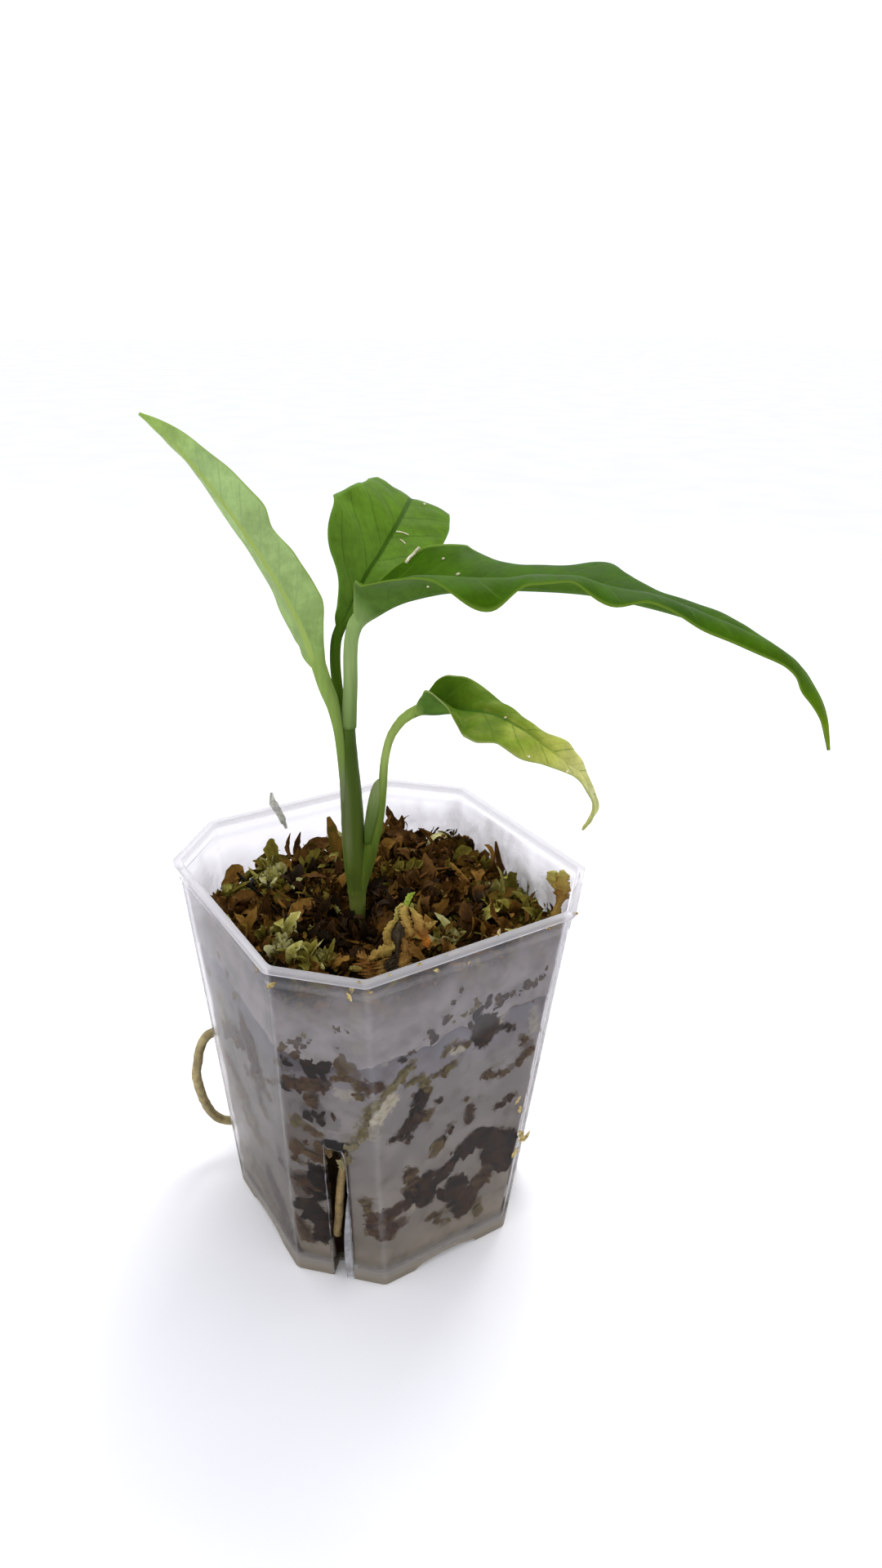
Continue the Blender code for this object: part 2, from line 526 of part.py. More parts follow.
def leaf(name, form):
    # Petiole and blade as one closed skin; each row is a thin section folded at the midrib
    line = form["petiole"] + form["blade"]
    run = np.concatenate([[0], np.cumsum(np.linalg.norm(np.diff(np.array(line), axis=0), axis=1))])
    joint = run[len(form["petiole"])] / run[-1]
    spine = np.vstack([smooth_line(line, PETIOLE_ROWS + 1, 0, joint)[:-1],
                       smooth_line(line, BLADE_ROWS, joint, 1)])
    rows = len(spine)
    stalk = np.clip(np.arange(rows) / PETIOLE_ROWS, 0, 1)
    t = np.clip((np.arange(rows) - PETIOLE_ROWS) / (BLADE_ROWS - 1), 0, 1)
    along = unit(np.gradient(spine, axis=0))
    face = keyed(form["face"], t).T
    up = unit(face - (face * along).sum(1)[:, None] * along)
    left = np.cross(up, along)
    radius = keyed(form["radius"], stalk)[0]
    flat = np.clip(t / BLADE_START, 0, 1)
    columns = LEAF_COLUMNS
    middle = np.zeros((rows, 2 * columns + 1, 3))
    lift = np.zeros_like(middle)
    share = np.zeros(2 * columns + 1)
    middle[:, columns] = spine
    lift[:, columns] = up
    for sign, side in ((1, "left"), (-1, "right")):
        width = np.where(t > 0, keyed(form[side], t)[0], radius)
        fold = np.radians(keyed(form["fold_" + side], t)[0])
        bend = np.radians(keyed(form["bend_" + side], t)[0])
        x = np.zeros(rows)
        y = np.zeros(rows)
        for j in range(1, columns + 1):
            a = fold + bend * (j - 0.5) / columns
            x = x + width / columns * np.cos(a)
            y = y + width / columns * np.sin(a)
            at = columns - sign * j
            middle[:, at] = spine + sign * left * x[:, None] + up * y[:, None]
            lift[:, at] = unit(up * np.cos(a)[:, None] - sign * left * np.sin(a)[:, None])
            share[at] = j / columns
    round_off = np.sqrt(np.clip(1 - share ** 2, 0.06, 1))
    above = (1 - flat)[:, None] * radius[:, None] * round_off + flat[:, None] * BLADE / 2
    rib = form["rib"] * (1 - t)[:, None] * np.exp(-(share * 3) ** 2)
    below = (1 - flat)[:, None] * radius[:, None] * round_off + flat[:, None] * (BLADE / 2 + rib)
    upper = turned(middle + lift * above[..., None])
    lower = turned(middle - lift * below[..., None])
    width = 2 * columns + 1
    vertices = [tuple(p) for row in upper for p in row] + [tuple(p) for row in lower for p in row]
    under = rows * width
    faces = []
    for i in range(rows - 1):
        for j in range(width - 1):
            a = i * width + j
            b = a + width
            faces += [(a, a + 1, b + 1), (a, b + 1, b)]
            faces += [(under + a, under + b + 1, under + a + 1), (under + a, under + b, under + b + 1)]
        for j in (0, width - 1):
            a = i * width + j
            b = a + width
            faces += [(a, b, under + b), (a, under + b, under + a)]
    for i in (0, rows - 1):
        for j in range(width - 1):
            a = i * width + j
            faces += [(a, a + 1, under + a + 1), (a, under + a + 1, under + a)]
    obj = mesh_object(name, vertices, faces)
    for polygon in obj.data.polygons:
        polygon.use_smooth = True
    return obj


def petiole_cutter(form):
    line = [p + (1.0,) for p in form["petiole"] + form["blade"][:1]]
    radius = keyed(form["radius"], np.linspace(0, 1, len(line)))[0]
    points = [(*turned([p[:3]])[0], r) for p, r in zip(line, radius)]
    return tube("cutter", points, 14, 12, grow=GAP)


def branched(name, branches):
    pieces = [tube(name, branch, SPRIG_ROWS, SPRIG_SIDES) for branch in branches]
    boolean(pieces[0], pieces[1:], "UNION")
    pieces[0].name = name
    return pieces[0]


def build_plant():
    stem_line = [(*turned([p[:3]])[0], p[3]) for p in STEM]
    stem = tube("stem", stem_line, 18, 14)
    dress(stem, "stem")
    forms = {"leaf_long": LEAF_LONG, "leaf_back": LEAF_BACK, "leaf_young": LEAF_YOUNG, "leaf_low": LEAF_LOW}
    clear_of = {"leaf_long": [], "leaf_back": [LEAF_LONG], "leaf_young": [LEAF_LONG, LEAF_BACK],
                "leaf_low": []}
    for name, form in forms.items():
        blade = leaf(name, form)
        cutters = [petiole_cutter(other) for other in clear_of[name]]
        if name != "leaf_long":
            cutters.append(tube("cutter", stem_line, 18, 14, grow=GAP))
        if cutters:
            boolean(blade, cutters, "DIFFERENCE")
        dress(blade, name)
    return stem_line


def build_filling(stem_line):
    moss = moss_body()
    boolean(moss, moss_strands(), "UNION")
    boolean(moss, [tube("tuft", points, 6, 7) for points in MOSS_TUFTS], "UNION")
    cutters = [tube("cutter", stem_line, 18, 12, grow=GAP)]
    cutters.append(tube("cutter", ROOT_LOOP, 30, 8, grow=GAP))
    cutters.append(tube("cutter", ROOT_SLOT, 24, 8, grow=GAP))
    cutters.append(root_recess())
    for branch in SPRIG_FRONT + SPRIG_SIDE:
        cutters.append(tube("cutter", branch, SPRIG_ROWS, SPRIG_SIDES, grow=GAP + SPRIG_EXTRA_GAP))
    boolean(moss, cutters, "DIFFERENCE")
    dress(moss, "moss")
    loop = tube("root_loop", ROOT_LOOP, 34, 8)
    dress(loop, "root_loop")
    root = tube("root_slot", ROOT_SLOT, 26, 8)
    dress(root, "root_slot")
    front = branched("moss_sprig_front", SPRIG_FRONT)
    dress(front, "moss_sprig_front")
    side = branched("moss_sprig_side", SPRIG_SIDE)
    dress(side, "moss_sprig_side")


for old in list(bpy.data.objects):
    bpy.data.objects.remove(old, do_unlink=True)
build_pot()
build_filling(build_plant())
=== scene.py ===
import math
import random

import bmesh
import bpy
import numpy as np
from mathutils import Matrix, Vector, noise


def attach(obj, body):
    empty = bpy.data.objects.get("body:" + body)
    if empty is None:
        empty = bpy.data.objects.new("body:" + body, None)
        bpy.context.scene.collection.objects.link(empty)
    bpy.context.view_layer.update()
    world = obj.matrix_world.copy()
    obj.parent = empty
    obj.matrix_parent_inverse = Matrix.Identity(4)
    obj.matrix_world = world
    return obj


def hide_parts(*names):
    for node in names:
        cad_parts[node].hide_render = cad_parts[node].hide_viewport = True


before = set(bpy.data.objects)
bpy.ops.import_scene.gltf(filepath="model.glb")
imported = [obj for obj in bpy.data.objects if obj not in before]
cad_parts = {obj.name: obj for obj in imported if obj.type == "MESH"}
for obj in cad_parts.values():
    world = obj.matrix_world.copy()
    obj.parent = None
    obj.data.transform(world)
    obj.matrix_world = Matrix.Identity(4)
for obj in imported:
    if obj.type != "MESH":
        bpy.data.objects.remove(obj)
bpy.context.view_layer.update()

# Lengths are in millimetres until a mesh is made. Plant points are (side, away, up) seen from the front corner.
mm = 0.001
plantTurn = math.radians(-32.3)


def linear(red, green, blue):
    # screen colour 0-255 to the linear value that a shader takes
    values = [c / 255 for c in (red, green, blue)]
    return tuple(c / 12.92 if c < 0.04 else ((c + 0.055) / 1.055) ** 2.4 for c in values)


def seen(red, green, blue):
    # a leaf colour as the photo shows it, less the sheen and the strength of a bright room
    return tuple(max(0.002, (c - 0.012) / 1.4) for c in linear(red, green, blue))


def sightLine(px, py):
    # from the camera through a pixel of the photo
    focal = view["lens"] / 36 * 1920
    ray = (np.array(view["right"]) * (px - 540) + np.array(view["up"]) * (960 - py)) / focal - np.array(view["back"])
    return np.array(view["place"]), ray


def plantSpot(px, py, away):
    # the point seen at a pixel, on the upright plane that far from the corner's view
    eye, ray = sightLine(px, py)
    out = turned([(0, 1, 0)])[0]
    return eye + (away - out @ eye) / (out @ ray) * ray


def turned(points):
    p = np.asarray(points, float)
    c = math.cos(plantTurn)
    s = math.sin(plantTurn)
    out = p.copy()
    out[..., 0] = p[..., 0] * c - p[..., 1] * s
    out[..., 1] = p[..., 0] * s + p[..., 1] * c
    return out


def unit(rows):
    return rows / np.maximum(np.linalg.norm(rows, axis=-1, keepdims=True), 1e-9)


def smoothLine(points, count, start=0.0, end=1.0):
    # even steps along a smooth curve through the points
    p = np.asarray(points, float)
    ends = np.vstack([2 * p[0] - p[1], p, 2 * p[-1] - p[-2]])
    dense = []
    for i in range(len(p) - 1):
        a, b, c, d = ends[i:i + 4]
        for t in np.linspace(0, 1, 16, endpoint=False):
            dense.append(0.5 * (2 * b + (c - a) * t + (2 * a - 5 * b + 4 * c - d) * t ** 2
                                + (3 * b - a - 3 * c + d) * t ** 3))
    dense.append(p[-1])
    dense = np.array(dense)
    run = np.concatenate([[0], np.cumsum(np.linalg.norm(np.diff(dense[:, :3], axis=0), axis=1))])
    at = np.linspace(start * run[-1], end * run[-1], count)
    return np.stack([np.interp(at, run, dense[:, k]) for k in range(dense.shape[1])], 1)


def keyed(keys, t):
    # values between keys, with no overshoot
    k = np.asarray(keys, float)
    x = k[:, 0]
    y = k[:, 1:]
    step = np.diff(x)[:, None]
    slope = np.diff(y, axis=0) / step
    tangent = np.zeros_like(y)
    both = slope[:-1] * slope[1:]
    tangent[1:-1] = np.where(both > 0, 2 * both / np.where(both > 0, slope[:-1] + slope[1:], 1), 0)
    tangent[0] = slope[0]
    tangent[-1] = slope[-1]
    i = np.clip(np.searchsorted(x, t, side="right") - 1, 0, len(x) - 2)
    f = np.clip((t - x[i]) / step[i, 0], 0, 1)[:, None]
    h = step[i]
    value = ((2 * f ** 3 - 3 * f ** 2 + 1) * y[i] + (f ** 3 - 2 * f ** 2 + f) * h * tangent[i]
             + (3 * f ** 2 - 2 * f ** 3) * y[i + 1] + (f ** 3 - f ** 2) * h * tangent[i + 1])
    return value.T


def rough(points, size, seed=0.0):
    # smooth noise at a list of points, with features of about that size in mm
    return np.array([noise.noise(Vector((p[0] / size + seed, p[1] / size, p[2] / size))) for p in points])


def meshPiece(name, vertices, faces, smooth=True, replaced=None):
    mesh = bpy.data.meshes.new(name)
    mesh.from_pydata((np.asarray(vertices, float) * mm).tolist(), [], faces)
    mesh.polygons.foreach_set("use_smooth", [smooth] * len(mesh.polygons))
    mesh.update()
    piece = bpy.data.objects.new(name, mesh)
    bpy.context.scene.collection.objects.link(piece)
    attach(piece, "root")
    if replaced:
        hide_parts(replaced)
    return piece


def setAttribute(piece, name, kind, values):
    attribute = piece.data.attributes.new(name, kind, "POINT")
    key = "color" if kind == "FLOAT_COLOR" else "value"
    attribute.data.foreach_set(key, np.asarray(values, float).ravel())


def turnOut(piece):
    # all faces of a closed piece point out
    bm = bmesh.new()
    bm.from_mesh(piece.data)
    bmesh.ops.recalc_face_normals(bm, faces=bm.faces)
    bm.to_mesh(piece.data)
    bm.free()


def tubeShape(points, rows, sides, flatten=1.0, wobble=0.0, seed=0.0):
    # vertices and faces of a closed rod along (x, y, z, radius) points
    line = smoothLine(points, rows)
    centre = line[:, :3]
    along = unit(np.gradient(centre, axis=0))
    guide = np.array([0.31, 0.9, 0.12])
    across = unit(np.cross(along, guide))
    other = np.cross(along, across)
    vertices = []
    for i in range(rows):
        for k in range(sides):
            a = 2 * math.pi * k / sides
            reach = line[i, 3]
            if wobble:
                reach *= 1 + wobble * noise.noise(Vector((i * 0.35 + seed, math.cos(a) * 1.3, math.sin(a) * 1.3)))
            vertices.append(centre[i] + reach * (math.cos(a) * across[i] + flatten * math.sin(a) * other[i]))
    faces = []
    for i in range(rows - 1):
        for k in range(sides):
            j = (k + 1) % sides
            faces.append((i * sides + k, i * sides + j, (i + 1) * sides + j, (i + 1) * sides + k))
    faces.append(tuple(range(sides))[::-1])
    faces.append(tuple((rows - 1) * sides + k for k in range(sides)))
    return vertices, faces


class Gather:
    # collects many small shapes into one mesh, each with a tone from 0 to 1
    def __init__(self):
        self.vertices = []
        self.faces = []
        self.tones = []

    def add(self, vertices, faces, tone):
        start = len(self.vertices)
        self.vertices.extend(vertices)
        self.faces.extend([tuple(v + start for v in face) for face in faces])
        self.tones.extend([tone] * len(vertices) if np.isscalar(tone) else tone)

    def piece(self, name, slot, replaced=None):
        made = meshPiece(name, self.vertices, self.faces, True, replaced)
        setAttribute(made, "tone", "FLOAT", self.tones)
        return made


# Materials

class Shading:
    # a short way to write a node tree
    def __init__(self, name):
        self.material = bpy.data.materials.new(name)
        self.material.use_nodes = True
        self.tree = self.material.node_tree
        self.shader = self.tree.nodes["Principled BSDF"]

    def node(self, kind, settings=None, **inputs):
        made = self.tree.nodes.new(kind)
        for key, value in (settings or {}).items():
            setattr(made, key, value)
        for key, value in inputs.items():
            self.feed(made, key.replace("_", " "), value)
        return made

    def feed(self, node, key, value):
        socket = node.inputs[int(key[1:])] if key[0] == "i" and key[1:].isdigit() else node.inputs[key]
        if isinstance(value, bpy.types.NodeSocket):
            self.tree.links.new(value, socket)
        else:
            socket.default_value = value

    def math(self, operation, first, second=0.0, third=0.0):
        made = self.tree.nodes.new("ShaderNodeMath")
        made.operation = operation
        for socket, value in zip(made.inputs, (first, second, third)):
            if isinstance(value, bpy.types.NodeSocket):
                self.tree.links.new(value, socket)
            else:
                socket.default_value = value
        return made.outputs[0]

    def mix(self, share, first, second, blend="MIX"):
        made = self.tree.nodes.new("ShaderNodeMix")
        made.data_type = "RGBA"
        made.blend_type = blend
        for socket, value in ((made.inputs[0], share), (made.inputs[6], first), (made.inputs[7], second)):
            if isinstance(value, bpy.types.NodeSocket):
                self.tree.links.new(value, socket)
            else:
                socket.default_value = value if np.isscalar(value) else (*value, 1)
        return made.outputs[2]

    def ramp(self, value, keys, read=linear):
        made = self.tree.nodes.new("ShaderNodeValToRGB")
        stops = made.color_ramp.elements
        while len(stops) < len(keys):
            stops.new(0.5)
        for stop, (place, colour) in zip(stops, keys):
            stop.position = place
            stop.color = (*read(*colour), 1)
        self.tree.links.new(value, made.inputs[0])
        return made.outputs[0]

    def span(self, value, low, high, first=0.0, last=1.0):
        made = self.node("ShaderNodeMapRange", {"interpolation_type": "SMOOTHSTEP"})
        self.feed(made, "i0", value)
        for index, number in enumerate((low, high, first, last)):
            made.inputs[index + 1].default_value = number
        return made.outputs[0]

    def noise(self, size, detail=2.0, stretch=(1, 1, 1), roughness=0.5, shift=0.0):
        # features of about this size in mm
        place = self.node("ShaderNodeTexCoord").outputs["Object"]
        mapped = self.node("ShaderNodeMapping", Vector=place, Scale=tuple(s / (size * mm) for s in stretch),
                           Location=(shift, shift, shift))
        made = self.node("ShaderNodeTexNoise", Vector=mapped.outputs[0], Scale=1.0, Detail=detail,
                         Roughness=roughness)
        return made.outputs["Fac"]

    def attribute(self, name, output="Fac"):
        return self.node("ShaderNodeAttribute", {"attribute_name": name}).outputs[output]

    def bump(self, height, strength, depth, normal=None):
        made = self.node("ShaderNodeBump", Height=height, Strength=strength, Distance=depth * mm)
        if normal is not None:
            self.tree.links.new(normal, made.inputs["Normal"])
        return made.outputs[0]

    def finish(self, **sockets):
        for key, value in sockets.items():
            self.feed(self.shader, key.replace("_", " "), value)
        return self.material


def dress(piece, material):
    piece.data.materials.clear()
    piece.data.materials.append(material)


# Camera, light and floor

view = {
    "place": (-92.5, -165.48, 185.49),
    "right": (0.8448, -0.5347, 0.0192),
    "up": (0.2082, 0.3617, 0.9088),
    "back": (-0.4928, -0.7638, 0.4169),
    "lens": 24.75,
    "paper": (247, 248, 253),
    "surround": 1.12,
    "floorReach": 4000,
    "lamps": (((220, 160, 460), 260, 1.3), ((-330, -60, 300), 260, 0.15)),
}


def makeCamera():
    camera = bpy.data.cameras.new("viewCamera")
    camera.lens = view["lens"]
    camera.clip_start = 0.01
    rig = bpy.data.objects.new("viewCamera", camera)
    columns = [view["right"], view["up"], view["back"], [c * mm for c in view["place"]]]
    rows = [[column[i] for column in columns] for i in range(3)]
    rig.matrix_world = Matrix(rows + [[0, 0, 0, 1]])
    bpy.context.scene.collection.objects.link(rig)
    bpy.context.scene.camera = rig


def makeLight():
    world = bpy.data.worlds.new("softSurround")
    bpy.context.scene.world = world
    world.use_nodes = True
    background = world.node_tree.nodes["Background"]
    background.inputs["Color"].default_value = (*linear(*view["paper"]), 1)
    background.inputs["Strength"].default_value = view["surround"]
    for index, (place, size, power) in enumerate(view["lamps"]):
        lamp = bpy.data.lights.new("softLamp%d" % index, "AREA")
        lamp.size = size * mm
        lamp.energy = power
        holder = bpy.data.objects.new("softLamp%d" % index, lamp)
        holder.location = [c * mm for c in place]
        aim = Vector((0, 0, 0.09)) - holder.location
        holder.rotation_euler = aim.to_track_quat("-Z", "Y").to_euler()
        bpy.context.scene.collection.objects.link(holder)


def makeFloor():
    reach = view["floorReach"] * mm
    mesh = bpy.data.meshes.new("paleFloor")
    mesh.from_pydata([(-reach, -reach, 0), (reach, -reach, 0), (reach, reach, 0), (-reach, reach, 0)], [],
                     [(0, 1, 2, 3)])
    floor = bpy.data.objects.new("paleFloor", mesh)
    bpy.context.scene.collection.objects.link(floor)
    paper = Shading("floorPaper")
    tint = paper.mix(paper.span(paper.noise(60, 2), 0.3, 0.7), linear(247, 247, 250), linear(251, 251, 253))
    dress(floor, paper.finish(Base_Color=tint, Roughness=0.9))


bpy.context.scene.view_settings.view_transform = "Standard"
makeCamera()
makeLight()
makeFloor()
print("camera, light and floor are in place")

# Leaves
# "left" and "right" are half-widths along the blade; "fold" and "bend" turn each half up (+) or down (-) in degrees.

leafGrid = {"stalkRows": 26, "bladeRows": 130, "columns": 14, "blade": 0.62, "edge": 0.22}

leafLong = {
    "petiole": [(-5.6, -0.5, 110.5), (-5.1, -1.0, 118.7), (-5.0, -1.0, 125.0), (-4.5, -1.5, 129.0)],
    "blade": [(-3.3, -1.5, 131.5), (-0.2, -3.0, 133.8), (2.7, -5.0, 135.8), (5.6, -7.0, 137.3),
              (9.9, -9.0, 138.9), (13.3, -10.5, 139.8), (21.0, -12.5, 140.8), (32.7, -15.0, 141.1),
              (39.9, -17.0, 140.5), (49.7, -19.0, 138.6), (59.7, -21.0, 135.5), (65.7, -21.0, 132.6),
              (69.4, -20.5, 129.6), (72.9, -20.0, 125.5), (75.9, -19.0, 120.9), (78.5, -18.0, 114.7)],
    "radius": [(0, 1.5), (0.3, 1.35), (0.8, 1.3), (1, 1.5)],
    "face": [(0, -0.1, 0.1, 1), (0.3, 0.05, 0.1, 1), (0.8, 0.3, 0.1, 1), (1, 0.9, 0.0, 0.5)],
    "left": [(0, 1.5), (0.06, 6.6), (0.14, 12), (0.23, 13.8), (0.33, 11), (0.4, 10.4), (0.46, 12), (0.55, 9),
             (0.65, 7.6), (0.75, 5.6), (0.9, 3.6), (1, 0.2)],
    "right": [(0, 1.5), (0.06, 7), (0.14, 10.4), (0.2, 11.6), (0.29, 14.6), (0.4, 13.6), (0.55, 12),
              (0.75, 7.6), (0.9, 4), (1, 0.2)],
    "foldLeft": [(0, 0), (0.03, 35), (1, 35)],
    "foldRight": [(0, 0), (0.03, 35), (1, 35)],
    "bendLeft": [(0, 0), (0.03, 40), (0.1, 22), (0.2, -20), (0.3, -50), (0.45, -32), (0.57, -58),
                 (0.68, -48), (0.76, -55), (0.86, -10), (1, 15)],
    "bendRight": [(0, 0), (0.05, 34), (0.1, -22), (0.2, -38), (0.3, -92), (0.36, -52), (0.43, -46),
                  (0.49, -70), (0.54, -52), (0.64, -74), (0.7, -82), (0.76, -84), (0.85, -118), (1, -110)],
    "rib": 0.7,
    "ribLine": 0.5,
    "groove": 0.16,
    "quilt": 0.03,
    "veinGap": 6.5,
    "veinSlant": 0.9,
    "ripple": 6.0,
    "top": [(0, (68, 103, 12)), (0.2, (74, 108, 14)), (0.6, (66, 100, 8)), (0.85, (86, 120, 30)),
            (1, (132, 156, 30))],
    "under": [(0, (98, 130, 62)), (0.4, (84, 118, 44)), (0.8, (82, 116, 40)), (1, (140, 160, 60))],
    "stalk": [(0, (122, 150, 84)), (0.6, (162, 186, 120)), (1, (152, 180, 110))],
    "midrib": (100, 136, 58),
    "veins": (88, 122, 46),
    "edge": (124, 154, 62),
    "yellowing": None,
}
leafBack = {
    "petiole": [(-6.7, 1.4, 104.0), (-7.6, 2.7, 114.1), (-8.2, 3.2, 121.2), (-8.0, 3.5, 125.8)],
    "blade": [(-7.1, 3.5, 128.5), (-6.0, 4.0, 130.9), (-5.0, 5.0, 132.9), (-3.7, 8.0, 135.2),
              (-2.1, 11.0, 137.7), (-0.4, 15.0, 139.7), (1.1, 19.0, 141.8), (2.6, 23.0, 143.8),
              (3.9, 29.0, 145.4), (4.7, 36.0, 146.0), (5.0, 44.0, 144.8), (5.0, 53.0, 142.4),
              (4.7, 61.0, 138.6)],
    "radius": [(0, 1.0), (1, 1.0)],
    "face": [(0, 0.1, -0.9, 0.4), (0.35, 0.25, -0.87, 0.4), (0.6, 0.35, -0.4, 0.9), (0.8, 0.3, 0, 1),
             (1, 0.2, 0.4, 0.9)],
    "left": [(0, 1), (0.06, 3.5), (0.14, 8.4), (0.22, 12.9), (0.28, 13.8), (0.35, 12.4), (0.44, 10), (0.6, 8.8),
             (0.8, 7), (0.93, 3.5), (1, 0.2)],
    "right": [(0, 1), (0.06, 1.6), (0.14, 5), (0.25, 8.4), (0.38, 9.8), (0.5, 9.8), (0.62, 9), (0.8, 7),
              (0.93, 4), (1, 0.2)],
    "foldLeft": [(0, 0), (0.05, 45), (0.15, 30), (0.6, 8), (1, 4)],
    "foldRight": [(0, 0), (0.05, 40), (0.15, 22), (0.6, 4), (1, 4)],
    "bendLeft": [(0, 0), (1, 0)],
    "bendRight": [(0, 0), (0.3, 0), (0.5, -10), (1, -10)],
    "rib": 0.5,
    "ribLine": 0.7,
    "groove": 0.3,
    "quilt": 0.1,
    "veinGap": 7.0,
    "veinSlant": 1.1,
    "ripple": 8.0,
    "top": [(0, (96, 130, 52)), (0.3, (102, 138, 50)), (0.6, (90, 124, 36)), (1, (94, 128, 40))],
    "under": [(0, (96, 136, 84)), (1, (104, 144, 84))],
    "stalk": [(0, (96, 122, 50)), (0.5, (86, 114, 42)), (1, (80, 110, 40))],
    "midrib": (60, 90, 32),
    "veins": (72, 104, 38),
    "edge": (112, 152, 62),
    "yellowing": None,
}
leafYoung = {
    "petiole": [(-5.6, 0.2, 88.0), (-6.3, -0.4, 93.0), (-6.7, -0.9, 98.0), (-7.0, -1.3, 104.5),
                (-7.35, -1.5, 109.1), (-7.85, -1.5, 112.4), (-8.5, -1.3, 115.4), (-9.8, -1.0, 118.9)],
    "blade": [(-10.9, -0.5, 122.4), (-12.2, 0.0, 125.8), (-14.3, 1.5, 130.2), (-16.5, 3.0, 133.9),
              (-19.9, 5.0, 139.0), (-23.9, 7.0, 144.4), (-26.7, 8.0, 148.1), (-30.8, 9.0, 153.3),
              (-35.7, 10.0, 158.8), (-39.8, 10.5, 162.5), (-42.5, 11.0, 164.6)],
    "radius": [(0, 0.3), (0.3, 0.7), (0.5, 0.85), (0.65, 0.95), (0.75, 1.15), (0.85, 1.4), (1, 1.4)],
    "face": [(0, 0.3, 0.9, 0.2), (1, 0.35, 0.87, 0.3)],
    "left": [(0, 1.4), (0.06, 2.4), (0.12, 3.7), (0.2, 5.6), (0.35, 5.4), (0.46, 4.5), (0.54, 5.7),
             (0.67, 4.7), (0.8, 3.3), (0.92, 1.8), (1, 0.2)],
    "right": [(0, 1.4), (0.06, 4.2), (0.13, 7.3), (0.27, 8.7), (0.4, 6.4), (0.47, 5.6), (0.57, 6.9), (0.7, 3.8),
              (0.8, 2.6), (0.87, 3), (0.95, 1.4), (1, 0.2)],
    "foldLeft": [(0, 0), (0.1, 26), (1, 28)],
    "foldRight": [(0, 0), (0.1, 34), (1, 36)],
    "bendLeft": [(0, 0), (1, 0)],
    "bendRight": [(0, 0), (1, 0)],
    "rib": 0.8,
    "ribLine": 0.45,
    "groove": 0.1,
    "quilt": 0.05,
    "veinGap": 6.0,
    "veinSlant": 1.6,
    "ripple": 8.0,
    "top": [(0, (116, 152, 74)), (1, (150, 180, 90))],
    "under": [(0, (156, 186, 106)), (0.35, (172, 200, 128)), (0.75, (178, 208, 136)), (1, (166, 198, 98))],
    "stalk": [(0, (106, 118, 82)), (0.3, (126, 138, 100)), (0.5, (140, 166, 86)), (1, (156, 184, 98))],
    "midrib": (176, 200, 106),
    "veins": (160, 186, 128),
    "edge": (156, 184, 84),
    "yellowing": None,
}
